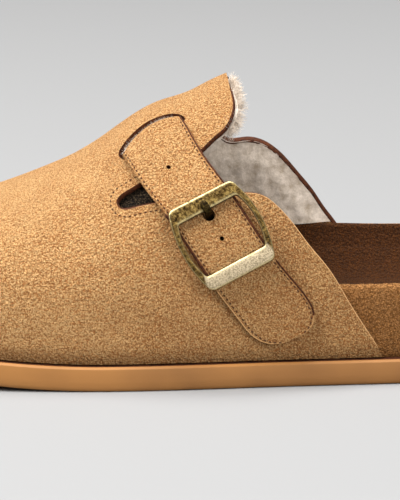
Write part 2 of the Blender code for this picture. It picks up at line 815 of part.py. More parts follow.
def buckle_point(along, across, lift):
    """Point on the rigid frame: bowed over the upper along its length only."""
    spine = strap_point(along, 0.0, lift)
    left = strap_point(along, -BUCKLE_WINDOW / 2, lift)
    right = strap_point(along, BUCKLE_WINDOW / 2, lift)
    direction = (right - left) / np.linalg.norm(right - left)
    middle = (left + right + 2 * spine) / 4
    return middle + direction * across


def frame_loop(half_length, half_width, corner, bow):
    """Rounded rectangle in along and across; its long sides bow outwards."""
    points = []
    for sx, sy in ((1, 1), (-1, 1), (-1, -1), (1, -1)):
        centre_x = sx * (half_length - corner)
        centre_y = sy * (half_width - corner)
        start = {(1, 1): 0, (-1, 1): 90, (-1, -1): 180, (1, -1): 270}[(sx, sy)]
        for i in range(5):
            angle = math.radians(start + i * 22.5)
            points.append((centre_x + corner * math.cos(angle), centre_y + corner * math.sin(angle)))
        if sy == 1 and sx == 1 or sy == -1 and sx == -1:
            for i in range(1, FRAME_SIDE_STEPS):
                share = i / FRAME_SIDE_STEPS
                points.append((centre_x * (1 - 2 * share), sy * half_width))
    bowed = []
    for along, across in points:
        push = bow * (1 - (along / half_length) ** 2)
        bowed.append((along, across + math.copysign(push, across)))
    return bowed


def build_buckle(surface):
    half_length = BUCKLE_LENGTH / 2
    inner_half = BUCKLE_WINDOW / 2
    outer_half = inner_half + BUCKLE_SIDE_BAR
    outer = frame_loop(half_length, outer_half, BUCKLE_CORNER, BUCKLE_OUTER_BOW)
    inner = frame_loop(half_length - BUCKLE_BAR, inner_half, BUCKLE_CORNER / 2, BUCKLE_INNER_BOW)
    body = bmesh.new()
    edge = BUCKLE_BAR_EDGE
    loops = []
    top = BAR_LIFT + BUCKLE_BAR_THICKNESS
    stages = ((outer, inner, 0.16, BAR_LIFT), (outer, inner, 0.0, BAR_LIFT + edge),
              (outer, inner, 0.0, top - edge), (outer, inner, 0.16, top),
              (outer, inner, 0.84, top), (outer, inner, 1.0, top - edge),
              (outer, inner, 1.0, BAR_LIFT + edge), (outer, inner, 0.84, BAR_LIFT))
    for first, second, share, lift in stages:
        loop = []
        for (a0, b0), (a1, b1) in zip(first, second):
            loop.append(body.verts.new(buckle_point(a0 + (a1 - a0) * share, b0 + (b1 - b0) * share, lift)))
        loops.append(loop)
    count = len(outer)
    for first, second in zip(loops, loops[1:] + loops[:1]):
        for i in range(count):
            j = (i + 1) % count
            body.faces.new((first[i], first[j], second[j], second[i]))
    bmesh.ops.recalc_face_normals(body, faces=body.faces)
    return add_object("buckle_frame", body, surface)


def build_prong(surface):
    """Prong: shank under the strap, neck through its hole, tip laid over the bar."""
    under = CLEARANCE + PRONG_THICKNESS / 2
    over = BAR_LIFT + BUCKLE_BAR_THICKNESS + CLEARANCE + PRONG_THICKNESS / 2
    bar_inner = -(BUCKLE_LENGTH / 2 - BUCKLE_BAR)
    route = (
        (BUCKLE_LENGTH / 2 - BUCKLE_BAR / 2, under),
        (0.0, under),
        (PRONG_HOLE_PLACE + 0.0006, under),
        (PRONG_HOLE_PLACE, (under + over) / 2),
        (bar_inner - 0.0002 + CLEARANCE, over),
        (bar_inner - PRONG_LAP, over),
    )
    half = PRONG_WIDTH / 2
    thick = PRONG_THICKNESS / 2
    body = bmesh.new()
    rings = []
    for index, (along, lift) in enumerate(route):
        before = np.array(route[max(index - 1, 0)])
        after = np.array(route[min(index + 1, len(route) - 1)])
        direction = (after - before) / np.linalg.norm(after - before)
        normal = np.array((direction[1], -direction[0]))
        ring = []
        for side, sign in ((-half, -1), (half, -1), (half, 1), (-half, 1)):
            offset = normal * thick * sign
            ring.append(body.verts.new(strap_point(along + offset[0], side, lift + offset[1])))
        rings.append(ring)
    for first, second in zip(rings, rings[1:]):
        for k in range(4):
            m = (k + 1) % 4
            body.faces.new((first[k], first[m], second[m], second[k]))
    body.faces.new(rings[0])
    body.faces.new(list(reversed(rings[-1])))
    bmesh.ops.recalc_face_normals(body, faces=body.faces)
    return add_object("buckle_prong", body, surface)


for old in list(bpy.data.objects):
    bpy.data.objects.remove(old, do_unlink=True)

suede = material("tan suede", (0.50, 0.27, 0.11), 0.95)
sock = material("brown suede sock", (0.33, 0.18, 0.08), 0.95)
foam = material("caramel sole rubber", (0.44, 0.22, 0.08), 0.6)
brass = material("antique brass", (0.34, 0.25, 0.11), 0.35, 1.0)

def centre_sideways():
    """Put the middle of the solids' width at the origin."""
    sides = []
    for solid in bpy.data.objects:
        if not solid.hide_render:
            sides.extend(vert.co.y for vert in solid.data.vertices)
    for solid in bpy.data.objects:
        solid.location.y = -(min(sides) + max(sides)) / 2


build_outsole(foam)
build_footbed(suede)
build_insole(sock)
build_upper(suede)
build_strap(suede)
build_buckle(brass)
build_prong(brass)
centre_sideways()
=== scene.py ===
import math
import bmesh
import bpy
import numpy as np
from mathutils import Matrix, Vector


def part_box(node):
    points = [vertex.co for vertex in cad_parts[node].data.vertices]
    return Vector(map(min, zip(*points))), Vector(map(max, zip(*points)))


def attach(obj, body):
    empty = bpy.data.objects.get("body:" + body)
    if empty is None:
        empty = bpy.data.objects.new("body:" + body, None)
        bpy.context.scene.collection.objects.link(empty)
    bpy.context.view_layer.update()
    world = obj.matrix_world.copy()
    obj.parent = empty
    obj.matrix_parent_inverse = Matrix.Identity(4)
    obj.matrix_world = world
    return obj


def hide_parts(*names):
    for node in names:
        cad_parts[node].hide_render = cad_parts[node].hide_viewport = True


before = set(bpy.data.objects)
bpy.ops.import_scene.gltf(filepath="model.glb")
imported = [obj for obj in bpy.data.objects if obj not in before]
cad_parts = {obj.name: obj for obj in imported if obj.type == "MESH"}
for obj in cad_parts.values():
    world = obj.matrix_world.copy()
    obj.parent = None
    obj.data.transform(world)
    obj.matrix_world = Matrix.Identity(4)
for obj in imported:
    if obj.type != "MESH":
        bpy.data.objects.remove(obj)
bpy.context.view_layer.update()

# The last and the sole, in metres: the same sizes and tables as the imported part
last = {
    "length": 0.258, "ballWidth": 0.098, "instepHeight": 0.075,
    "soleThickness": 0.0082, "toeSpring": 0.0105, "heelRise": 0.0015,
    "welt": 0.0026, "sideBulge": 0.0015, "toeSlope": 0.33,
    "wall": 0.0020, "clearance": 0.0003,
}
outlineRows = (  # station, outer side, inner side
    (0.000, -0.092, 0.092), (0.019, 0.140, 0.300), (0.050, 0.258, 0.398),
    (0.100, 0.364, 0.463), (0.180, 0.441, 0.504), (0.270, 0.480, 0.515),
    (0.360, 0.495, 0.505), (0.450, 0.485, 0.464), (0.550, 0.459, 0.403),
    (0.650, 0.439, 0.367), (0.750, 0.418, 0.357), (0.840, 0.383, 0.347),
    (0.920, 0.306, 0.291), (0.960, 0.224, 0.219), (1.000, 0.005, -0.005),
)
crestRows = (  # station, height, shift to the inner side, fullness at the side and on top
    (0.160, 0.530, 0.051, 3.00, 2.55), (0.220, 0.587, 0.051, 2.70, 2.42),
    (0.300, 0.691, 0.051, 2.50, 2.30), (0.360, 0.803, 0.046, 2.35, 2.20),
    (0.400, 0.902, 0.041, 2.30, 2.12), (0.430, 0.959, 0.041, 2.27, 2.07),
    (0.470, 1.006, 0.041, 2.22, 2.03), (0.490, 1.042, 0.041, 2.20, 2.02),
    (0.520, 1.088, 0.041, 2.18, 2.00),
    (0.600, 1.187, 0.031, 2.12, 2.00), (0.800, 1.280, 0.000, 2.10, 2.00),
)
outerEdgeRows = (  # station and height of the edge: throat flap, keyhole, outer quarter
    (0.5095, 1.300), (0.5120, 1.150), (0.5147, 1.040), (0.5163, 0.987), (0.5132, 0.951),
    (0.5047, 0.907), (0.4934, 0.877), (0.4752, 0.824), (0.4419, 0.763), (0.4027, 0.701),
    (0.3891, 0.674), (0.3795, 0.652), (0.3757, 0.630), (0.3785, 0.611), (0.3960, 0.611),
    (0.4176, 0.627), (0.4729, 0.646),
    (0.5155, 0.664), (0.5322, 0.666), (0.5488, 0.653), (0.5632, 0.617), (0.5795, 0.557),
    (0.6004, 0.461), (0.6244, 0.359), (0.6465, 0.232), (0.6678, 0.115), (0.6850, 0.020),
    (0.7000, -0.080),
)
innerEdgeRows = (
    (0.5095, 1.300), (0.5120, 1.150), (0.5147, 1.040), (0.5155, 0.987), (0.5110, 0.920),
    (0.5070, 0.850), (0.5090, 0.790), (0.5220, 0.748), (0.5442, 0.752), (0.5655, 0.735),
    (0.5853, 0.684), (0.6062, 0.600), (0.6256, 0.516), (0.6399, 0.441), (0.6539, 0.376),
    (0.6700, 0.270), (0.6850, 0.150), (0.6980, 0.020), (0.7080, -0.080),
)
rimRows = (  # station, outer rim, inner rim, floor of the seat
    (0.000, 0.36, 0.36, 0.95), (0.120, 0.34, 0.34, 0.85), (0.300, 0.38, 0.42, 0.80),
    (0.450, 0.56, 0.70, 0.88), (0.580, 0.75, 0.98, 1.10), (0.700, 0.76, 1.00, 1.15),
    (0.820, 0.86, 1.02, 1.05), (0.930, 1.06, 1.08, 1.15), (1.000, 1.12, 1.12, 1.30),
)


def smoothCurve(places, values):
    # Natural cubic through a table's points
    places, values = np.asarray(places, float), np.asarray(values, float)
    count, gap = len(places), np.diff(places)
    matrix, right = np.eye(count), np.zeros(count)
    for i in range(1, count - 1):
        matrix[i, i - 1:i + 2] = gap[i - 1], 2 * (gap[i - 1] + gap[i]), gap[i]
        right[i] = 6 * ((values[i + 1] - values[i]) / gap[i] - (values[i] - values[i - 1]) / gap[i - 1])
    bend = np.linalg.solve(matrix, right)

    def read(place):
        place = np.clip(np.asarray(place, float), places[0], places[-1])
        i = np.clip(np.searchsorted(places, place) - 1, 0, count - 2)
        before, after = place - places[i], places[i + 1] - place
        curve = (bend[i] * after ** 3 + bend[i + 1] * before ** 3) / (6 * gap[i])
        start = (values[i] / gap[i] - bend[i] * gap[i] / 6) * after
        return curve + start + (values[i + 1] / gap[i] - bend[i + 1] * gap[i] / 6) * before

    return read


def turnOf(share):
    return np.arccos(1 - 2 * np.asarray(share, float))


def columns(rows):
    return [np.array(values) for values in zip(*rows)]


outlineColumns = columns(outlineRows)
outerSide = smoothCurve(turnOf(outlineColumns[0]), outlineColumns[1])
innerSide = smoothCurve(turnOf(outlineColumns[0]), outlineColumns[2])
crestColumns = columns(crestRows)
crestHeight, crestShift, sideFullness, topFullness = (
    smoothCurve(crestColumns[0], values) for values in crestColumns[1:])
rimColumns = columns(rimRows)
outerRim, innerRim, seatFloor = (smoothCurve(rimColumns[0], values) for values in rimColumns[1:])
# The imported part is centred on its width, so every piece is shifted sideways with it
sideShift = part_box("outsole")[1][1] - float(innerSide(np.linspace(0, math.pi, 2000)).max()) * last["ballWidth"]


def shareOf(x):
    return x / last["length"] + 0.5


def outlineAt(turn, inset=0.0):
    turn = np.asarray(turn, float)

    def edge(at):
        side = np.where(at < 0, -outerSide(np.abs(at)), innerSide(np.abs(at)))
        return -last["length"] / 2 * np.cos(at), side * last["ballWidth"]

    x, y = edge(turn)
    x0, y0 = edge(turn - 1e-3)
    x1, y1 = edge(turn + 1e-3)
    size = np.hypot(x1 - x0, y1 - y0)
    return x + inset * (y1 - y0) / size, y - inset * (x1 - x0) / size


def liftOf(x):
    share = shareOf(x)
    toe = np.clip((0.36 - share) / 0.36, 0, None)
    heel = np.clip((share - 0.94) / 0.06, 0, None)
    return last["toeSpring"] * toe ** 1.9 + last["heelRise"] * heel ** 2


def soleTop(x):
    return liftOf(x) + last["soleThickness"]


def lastPoint(turn, rise):
    # Outer face of the upper: rise 0 is the feather line, 1 the crest
    turn, rise = np.broadcast_arrays(np.asarray(turn, float), np.asarray(rise, float))
    footX, footY = outlineAt(turn, last["welt"])
    share = np.clip((1 - np.cos(turn)) / 2, crestRows[0][0], crestRows[-1][0])
    topX, topY = (share - 0.5) * last["length"], crestShift(share) * last["ballWidth"]
    base = soleTop(footX) + last["clearance"]
    top = last["soleThickness"] + crestHeight(share) * last["instepHeight"]
    angle = rise * math.pi / 2
    inward = 1 - np.clip(np.cos(angle), 0, 1) ** (2 / topFullness(share))
    upward = np.sin(angle) ** (2 / sideFullness(share))
    inward = inward - last["sideBulge"] / np.hypot(topX - footX, topY - footY) * np.sin(2 * angle) * (1 - rise)
    toeDrop = last["toeSlope"] * (1 - inward) * np.clip(topX - footX, 0, None) * upward
    x, y = footX + (topX - footX) * inward, footY + (topY - footY) * inward
    return np.stack([x, y, base + (top - base) * upward - toeDrop], -1)


print("last ready")


# Camera: low from the outer side, a long lens, and the photo's own crop
cameraFacts = {"azimuth": -3.0, "elevation": 11.0, "distance": 1.2, "pixelsPerMetre": 3200.0,
               "aim": (-0.005, 0.0, 0.034), "frameWidth": 400, "sensor": 36}
azimuth, elevation = math.radians(cameraFacts["azimuth"]), math.radians(cameraFacts["elevation"])
back = Vector((math.sin(azimuth) * math.cos(elevation), -math.cos(azimuth) * math.cos(elevation),
               math.sin(elevation)))
cameraData = bpy.data.cameras.new("camera")
cameraData.sensor_fit = "HORIZONTAL"
cameraData.sensor_width = cameraFacts["sensor"]
pixelsAcross = cameraFacts["pixelsPerMetre"] * cameraFacts["distance"]
cameraData.lens = pixelsAcross * cameraFacts["sensor"] / cameraFacts["frameWidth"]
camera = bpy.data.objects.new("camera", cameraData)
bpy.context.collection.objects.link(camera)
camera.location = Vector(cameraFacts["aim"]) + Vector((0, sideShift, 0)) + back * cameraFacts["distance"]
camera.rotation_euler = back.to_track_quat("Z", "Y").to_euler()
bpy.context.scene.camera = camera


def addNode(tree, kind, inputs=None, **settings):
    # A node with its settings, its input values and its links
    made = tree.nodes.new(kind)
    for name, value in settings.items():
        setattr(made, name, value)
    for name, value in (inputs or {}).items():
        if isinstance(value, bpy.types.NodeSocket):
            tree.links.new(value, made.inputs[name])
        else:
            made.inputs[name].default_value = value
    return made


def hexColour(text):
    # sRGB hex to linear
    parts = [int(text[i:i + 2], 16) / 255 for i in (1, 3, 5)]
    return [*(p / 12.92 if p <= 0.04045 else ((p + 0.055) / 1.055) ** 2.4 for p in parts), 1.0]


def newMaterial(name):
    made = bpy.data.materials.new(name)
    made.use_nodes = True
    shader = made.node_tree.nodes["Principled BSDF"]
    return made, made.node_tree, shader


def colourRamp(tree, factor, stops):
    stops = list(stops)
    ramp = addNode(tree, "ShaderNodeValToRGB", {"Fac": factor})
    elements = ramp.color_ramp.elements
    while len(elements) < len(stops):
        elements.new(0.5)
    for element, (place, colour) in zip(elements, stops):
        element.position, element.color = place, hexColour(colour)
    return ramp.outputs["Color"]


# Napped suede: buffed leather, no shine, short nap that breaks into light and dark flecks, with painted shade in
# its pits and along the shoe
suede = {"light": "#e2b77f", "middle": "#d29e63", "dark": "#9f6431", "stops": (0.25, 0.36, 0.50),
         "fleck": 0.00040, "cell": 0.00054, "cloud": 0.014, "cloudShare": 0.12, "swirl": 1.6,
         "paintedPitShade": -0.34, "paintedHeelShade": -0.35, "relief": 0.00084, "pitRelief": -0.25, "napDepth": 0.0036,
         "roughness": 0.95, "specular": 0.15, "sheen": 0.22, "sheenRoughness": 0.5, "sheenTint": "#f0c896"}


def suedeMaterial(name, facts):
    made, tree, shader = newMaterial(name)
    place = addNode(tree, "ShaderNodeTexCoord").outputs["Object"]
    flecks = addNode(tree, "ShaderNodeTexNoise", {"Vector": place, "Scale": 1 / facts["fleck"], "Detail": 3.0,
                                                  "Roughness": 0.62})
    fleck, fleckColour = flecks.outputs["Fac"], flecks.outputs["Color"]
    bend = addNode(tree, "ShaderNodeVectorMath", {0: fleckColour, 1: (0.5, 0.5, 0.5)}, operation="SUBTRACT")
    swirl = addNode(tree, "ShaderNodeVectorMath", {0: bend.outputs["Vector"],
                                                   "Scale": facts["cell"] * facts["swirl"]}, operation="SCALE")
    moved = addNode(tree, "ShaderNodeVectorMath", {0: place, 1: swirl.outputs["Vector"]}, operation="ADD")
    grain = addNode(tree, "ShaderNodeTexVoronoi", {"Vector": moved.outputs["Vector"], "Scale": 1 / facts["cell"]},
                    feature="F1").outputs["Distance"]
    cloud = addNode(tree, "ShaderNodeTexNoise", {"Vector": place, "Scale": 1 / facts["cloud"], "Detail": 4.0,
                                                 "Roughness": 0.6}).outputs["Fac"]
    nap = addNode(tree, "ShaderNodeMix", {"Factor": facts["cloudShare"], "A": fleck, "B": cloud}).outputs["Result"]
    station = addNode(tree, "ShaderNodeSeparateXYZ", {"Vector": place}).outputs["X"]
    # Painted shade: the nap's pits are darker, and the tone grows lighter towards the toe and darker towards the
    # heel with the light's fall
    for shaded, share in ((grain, facts["paintedPitShade"]), (station, facts["paintedHeelShade"])):
        nap = addNode(tree, "ShaderNodeMath", {0: shaded, 1: share, 2: nap}, operation="MULTIPLY_ADD").outputs[0]
    colour = colourRamp(tree, nap, zip(facts["stops"], (facts["dark"], facts["middle"], facts["light"])))
    tree.links.new(colour, shader.inputs["Base Color"])
    relief = addNode(tree, "ShaderNodeTexNoise", {"Vector": moved.outputs["Vector"], "Scale": 1 / facts["relief"],
                                                  "Detail": 1.2, "Roughness": 0.5}).outputs["Fac"]
    height = addNode(tree, "ShaderNodeMath", {0: grain, 1: facts["pitRelief"], 2: relief},
                     operation="MULTIPLY_ADD").outputs[0]
    bump = addNode(tree, "ShaderNodeBump", {"Height": height, "Strength": 1.0,
                                            "Distance": facts["napDepth"]}).outputs["Normal"]
    tree.links.new(bump, shader.inputs["Normal"])
    shader.inputs["Roughness"].default_value = facts["roughness"]
    shader.inputs["Specular IOR Level"].default_value = facts["specular"]
    shader.inputs["Sheen Weight"].default_value = facts["sheen"]
    shader.inputs["Sheen Roughness"].default_value = facts["sheenRoughness"]
    shader.inputs["Sheen Tint"].default_value = hexColour(facts["sheenTint"])
    return made


# Cut leather edge, stained: dark brown with a slight gloss from burnishing
cutEdge = {"dark": "#2e1508", "light": "#552a10", "grain": 0.0008, "depth": 0.0002, "roughness": 0.8,
           "specular": 0.2}


def cutEdgeMaterial():
    made, tree, shader = newMaterial("burnished leather edge")
    place = addNode(tree, "ShaderNodeTexCoord").outputs["Object"]
    grain = addNode(tree, "ShaderNodeTexNoise", {"Vector": place, "Scale": 1 / cutEdge["grain"],
                                                 "Detail": 3.0}).outputs["Fac"]
    colour = colourRamp(tree, grain, ((0.35, cutEdge["dark"]), (0.65, cutEdge["light"])))
    tree.links.new(colour, shader.inputs["Base Color"])
    bump = addNode(tree, "ShaderNodeBump", {"Height": grain, "Strength": 0.5, "Distance": cutEdge["depth"]})
    tree.links.new(bump.outputs["Normal"], shader.inputs["Normal"])
    shader.inputs["Roughness"].default_value = cutEdge["roughness"]
    shader.inputs["Specular IOR Level"].default_value = cutEdge["specular"]
    return made


# Wool pile on a knitted back: off-white, dull, greyer where its clumps dip, as painted shade in its depths
fleece = {"light": "#eedfcf", "middle": "#d4c5b4", "dark": "#b3a18c", "clump": 0.0030, "depth": 0.0006,
          "specular": 0.1, "sheen": 0.35}


def fleeceMaterial():
    made, tree, shader = newMaterial("wool fleece")
    place = addNode(tree, "ShaderNodeTexCoord").outputs["Object"]
    clump = addNode(tree, "ShaderNodeTexNoise", {"Vector": place, "Scale": 1 / fleece["clump"], "Detail": 6.0,
                                                 "Roughness": 0.68}).outputs["Fac"]
    # The same noise darkens the colour where the bump is low: painted shade in the pile's hollows
    colour = colourRamp(tree, clump, ((0.32, fleece["dark"]), (0.50, fleece["middle"]),
                                      (0.66, fleece["light"])))
    tree.links.new(colour, shader.inputs["Base Color"])
    bump = addNode(tree, "ShaderNodeBump", {"Height": clump, "Strength": 0.8, "Distance": fleece["depth"]})
    tree.links.new(bump.outputs["Normal"], shader.inputs["Normal"])
    shader.inputs["Roughness"].default_value = 1.0
    shader.inputs["Specular IOR Level"].default_value = fleece["specular"]
    shader.inputs["Sheen Weight"].default_value = fleece["sheen"]
    return made


# Foamed rubber, moulded: caramel, a soft satin skin with very fine pores, lighter at the toe and darker at the
# heel as painted light and shade
soleFoam = {"light": "#9d6b36", "dark": "#6c4620", "paintedHeelShade": -2.6, "cloud": 0.03, "pore": 0.0006,
            "poreDepth": 0.00008, "roughness": 0.55, "specular": 0.35}


def soleMaterial():
    made, tree, shader = newMaterial("moulded sole foam")
    place = addNode(tree, "ShaderNodeTexCoord").outputs["Object"]
    cloud = addNode(tree, "ShaderNodeTexNoise", {"Vector": place, "Scale": 1 / soleFoam["cloud"],
                                                 "Detail": 3.0}).outputs["Fac"]
    station = addNode(tree, "ShaderNodeSeparateXYZ", {"Vector": place}).outputs["X"]
    # Painted light and shade: lighter towards the toe, darker towards the heel, over a faint cloud of tone
    toneMask = addNode(tree, "ShaderNodeMath", {0: station, 1: soleFoam["paintedHeelShade"], 2: cloud},
                   operation="MULTIPLY_ADD")
    colour = colourRamp(tree, toneMask.outputs[0], ((0.05, soleFoam["dark"]), (0.62, soleFoam["light"])))
    tree.links.new(colour, shader.inputs["Base Color"])
    pore = addNode(tree, "ShaderNodeTexNoise", {"Vector": place, "Scale": 1 / soleFoam["pore"], "Detail": 2.0})
    bump = addNode(tree, "ShaderNodeBump", {"Height": pore.outputs["Fac"], "Strength": 0.25,
                                            "Distance": soleFoam["poreDepth"]})
    tree.links.new(bump.outputs["Normal"], shader.inputs["Normal"])
    shader.inputs["Roughness"].default_value = soleFoam["roughness"]
    shader.inputs["Specular IOR Level"].default_value = soleFoam["specular"]
    return made


# Brass, cast, antiqued and brushed back: bright on the rubbed bars, brown in the pits
antiqueBrass = {"bright": "#8a7442", "middle": "#523f20", "dark": "#1d1408", "rubbed": "#e6d39a",
                "brushed": "#bfae90", "scratched": "#8c7e64", "mottle": 0.0010, "brush": 0.0004,
                "pitDepth": 0.0003, "roughest": 0.60, "smoothest": 0.30}


def brassMaterial(name, facts):
    made, tree, shader = newMaterial(name)
    place = addNode(tree, "ShaderNodeTexCoord").outputs["Object"]
    mottle = addNode(tree, "ShaderNodeTexNoise", {"Vector": place, "Scale": 1 / facts["mottle"],
                                                  "Detail": 7.0, "Roughness": 0.75}).outputs["Fac"]
    base = colourRamp(tree, mottle, ((0.40, facts["dark"]), (0.50, facts["middle"]),
                                     (0.64, facts["bright"])))
    # "brushed" marks the lower bar, "rubbed" the arrises that hands and the strap polish
    brushed = addNode(tree, "ShaderNodeAttribute", attribute_name="brushed").outputs["Fac"]
    rubbed = addNode(tree, "ShaderNodeAttribute", attribute_name="rubbed").outputs["Fac"]
    toneMask = addNode(tree, "ShaderNodeMapRange", {"Value": mottle, "From Min": 0.30,
                                                "From Max": 0.46}).outputs["Result"]
    rubbed = addNode(tree, "ShaderNodeMath", {0: rubbed, 1: toneMask}, operation="MULTIPLY").outputs[0]
    scratch = addNode(tree, "ShaderNodeTexNoise", {"Vector": place, "Scale": 1 / facts["brush"],
                                                   "Detail": 2.0}).outputs["Fac"]
    satin = colourRamp(tree, scratch, ((0.38, facts["scratched"]), (0.56, facts["brushed"])))
    colour = addNode(tree, "ShaderNodeMix", {"Factor": brushed}, data_type="RGBA")
    tree.links.new(satin, colour.inputs["B"])
    tree.links.new(base, colour.inputs["A"])
    shown = addNode(tree, "ShaderNodeMix", {"Factor": rubbed}, data_type="RGBA")
    tree.links.new(colour.outputs["Result"], shown.inputs["A"])
    shown.inputs["B"].default_value = hexColour(facts["rubbed"])
    tree.links.new(shown.outputs["Result"], shader.inputs["Base Color"])
    rough = addNode(tree, "ShaderNodeMapRange", {"Value": mottle, "From Min": 0.35, "From Max": 0.65,
                                                 "To Min": facts["roughest"], "To Max": facts["smoothest"]})
    tree.links.new(rough.outputs["Result"], shader.inputs["Roughness"])
    height = addNode(tree, "ShaderNodeMath", {0: scratch, 1: 0.3, 2: mottle}, operation="MULTIPLY_ADD").outputs[0]
    bump = addNode(tree, "ShaderNodeBump", {"Height": height, "Strength": 0.6, "Distance": facts["pitDepth"]})
    tree.links.new(bump.outputs["Normal"], shader.inputs["Normal"])
    shader.inputs["Metallic"].default_value = 1.0
    return made


def plainFinish(name, colour):
    # Dull leather or thread in one tone, for lines under a millimetre wide
    made, _, shader = newMaterial(name)
    shader.inputs["Base Color"].default_value = hexColour(colour)
    shader.inputs["Roughness"].default_value = 1.0
    return made


upperSuede = suedeMaterial("tan napped suede", suede)
# The seat and the sock take a darker copy of the footbed's suede as painted shade inside the shoe
shadedFootbedSuede = suedeMaterial("brown napped suede with painted shade", {**suede, "light": "#63360b", "middle": "#502806",
                                                    "dark": "#381b03", "paintedHeelShade": 0.0, "sheen": 0.03})
edgeStain = cutEdgeMaterial()
woolFleece = fleeceMaterial()
moulded = soleMaterial()
brass = brassMaterial("antiqued brass", antiqueBrass)
# A darker copy of the brass as painted shade, for the frame's faces towards the window and the strap, and for the
# prong
shadedBrass = brassMaterial("brass darkened as painted shade", {**antiqueBrass, "bright": "#4d4020", "middle": "#2a2010",
                                              "dark": "#120c06"})
wallSuede = suedeMaterial("brown-tan napped suede", {**suede, "light": "#c58b53", "middle": "#ac7640",
                                                     "dark": "#7d4e20", "paintedHeelShade": 0.0, "sheen": 0.10})
# The raw edge's pale tone is partly its own colour and partly a painted highlight where the edge meets the light
rawEdgeHighlight = plainFinish("raw hide edge with painted highlight", "#c1935f")
# A near-black pile as painted shade, for the sheet behind the keyhole
keyholeShadeFinish = suedeMaterial("dark pile as painted shade", {**suede, "light": "#63523c", "middle": "#2e2418",
                                                 "dark": "#120c08", "paintedHeelShade": 0.0, "sheen": 0.0})
threadTan = plainFinish("waxed brown thread", "#4f2d12")
print("materials ready")


def newMesh(name, points, faces, materials):
    mesh = bpy.data.meshes.new(name)
    mesh.from_pydata([tuple(p) for p in points], [], faces)
    for surface in materials:
        mesh.materials.append(surface)
    made = bpy.data.objects.new(name, mesh)
    bpy.context.collection.objects.link(made)
    return made


def tidyNormals(made, merge=1e-6):
    work = bmesh.new()
    work.from_mesh(made.data)
    bmesh.ops.remove_doubles(work, verts=work.verts, dist=merge)
    bmesh.ops.recalc_face_normals(work, faces=work.faces)
    work.to_mesh(made.data)
    work.free()


def finishPiece(made, nodes=(), smoothAngle=40):
    # Shade it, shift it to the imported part's middle and hand it to the frame
    made.data.transform(Matrix.Translation((0, sideShift, 0)))
    made.data.shade_smooth()
    made.data.set_sharp_from_angle(angle=math.radians(smoothAngle))
    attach(made, "root")
    if nodes:
        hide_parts(*nodes)


def applyModifiers(made):
    shown = bpy.data.meshes.new_from_object(made.evaluated_get(bpy.context.evaluated_depsgraph_get()))
    made.modifiers.clear()
    made.data = shown


def gridFaces(rows, count, closed=True):
    faces = []
    for r in range(rows - 1):
        for i in range(count if closed else count - 1):
            j = (i + 1) % count
            faces.append((r * count + i, r * count + j, (r + 1) * count + j, (r + 1) * count + i))
    return faces


def tubeFaces(rows, sides):
    # Faces of a tube with both ends closed
    ends = [tuple(reversed(range(sides))), tuple(range((rows - 1) * sides, rows * sides))]
    return gridFaces(rows, sides) + ends


def endFade(count, over, least):
    # Thins a line of points towards both of its ends
    return np.clip(np.minimum(np.arange(count), np.arange(count)[::-1]) / over, least, 1)


def inwardStep(turns, distance):
    near, far = np.stack(outlineAt(turns), -1), np.stack(outlineAt(turns, 0.001), -1)
    return (far - near) / 0.001 * distance


def surfaceNormal(turn, rise):
    # Points out of the last; the step at the crest is taken downwards so that it stays on the face
    step = 1e-3
    low, high = np.clip(rise - step, 0, 1), np.clip(rise + step, 0, 1)
    along = lastPoint(turn + step, rise) - lastPoint(turn - step, rise)
    upward = lastPoint(turn, high) - lastPoint(turn, low)
    normal = np.cross(upward, along)
    size = np.linalg.norm(normal, axis=-1, keepdims=True)
    return normal / np.where(size > 1e-12, size, 1)


def insideFace(turns, heights, depth):
    # Plan of a wall so deep under the last's face, at one height for each turn
    rises = np.linspace(0.002, 0.97, 90)  # clear of the feather line and the crest
    found = []
    for turn, height in zip(turns, heights):
        inner = lastPoint(turn, rises) - surfaceNormal(np.full(len(rises), turn), rises) * depth
        place = max(height, inner[0, 2])
        found.append([np.interp(place, inner[:, 2], inner[:, k]) for k in (0, 1)])
    return np.array(found)


def rimHeight(turns):
    share = shareOf(outlineAt(turns)[0])
    outer, inner = outerRim(share), innerRim(share)
    own = np.where(np.asarray(turns) < 0, outer, inner)
    ends = np.clip(np.minimum(share, 1 - share) / 0.12, 0, 1)
    mean = (outer + inner) / 2
    return soleTop(outlineAt(turns)[0]) + footbed["rimHeight"] * (mean + (own - mean) * ends)


def soleTurns(steps):
    half = (np.arange(steps) + 0.5) * math.pi / steps
    return np.concatenate([-half[::-1], half])


def ringsPiece(name, rings, materials):
    # Closed body from loops; the first and the last loop are filled across the shoe
    count = len(rings[0])
    faces = gridFaces(len(rings), count)
    for start in (0, (len(rings) - 1) * count):
        for i in range(count // 2 - 1):
            faces.append(tuple(start + k for k in (i, i + 1, count - 2 - i, count - 1 - i)))
    made = newMesh(name, np.concatenate(rings), faces, materials)
    tidyNormals(made)
    return made


# Outsole: rounded lower edge, plain side, thin lip, grooves across the tread
outsole = {"steps": 230, "grooveWidth": 0.0028, "grooveDepth": 0.0016, "groovePitch": 0.0105,
           "grooveMargin": 0.0090, "grooveBow": 0.006, "grooveSteps": 24, "grooveReach": -0.002,
           "firstGrooves": ((0.17, 7), (0.76, 5))}  # station of the first of a group, and how many
# Side of the outsole from the floor up: step in from the outline, share of the thickness
outsoleSide = ((0.0060, 0.0), (0.0014, 0.0), (0.0007, 0.015), (0.00025, 0.06), (0.0, 0.16), (0.0, 0.40),
               (0.0001, 0.60), (0.0002, 0.76), (0.0003, 0.835), (0.0007, 0.885), (0.0012, 0.915),
               (0.0016, 0.920), (0.0018, 0.900), (0.0026, 0.880), (0.0060, 0.88))


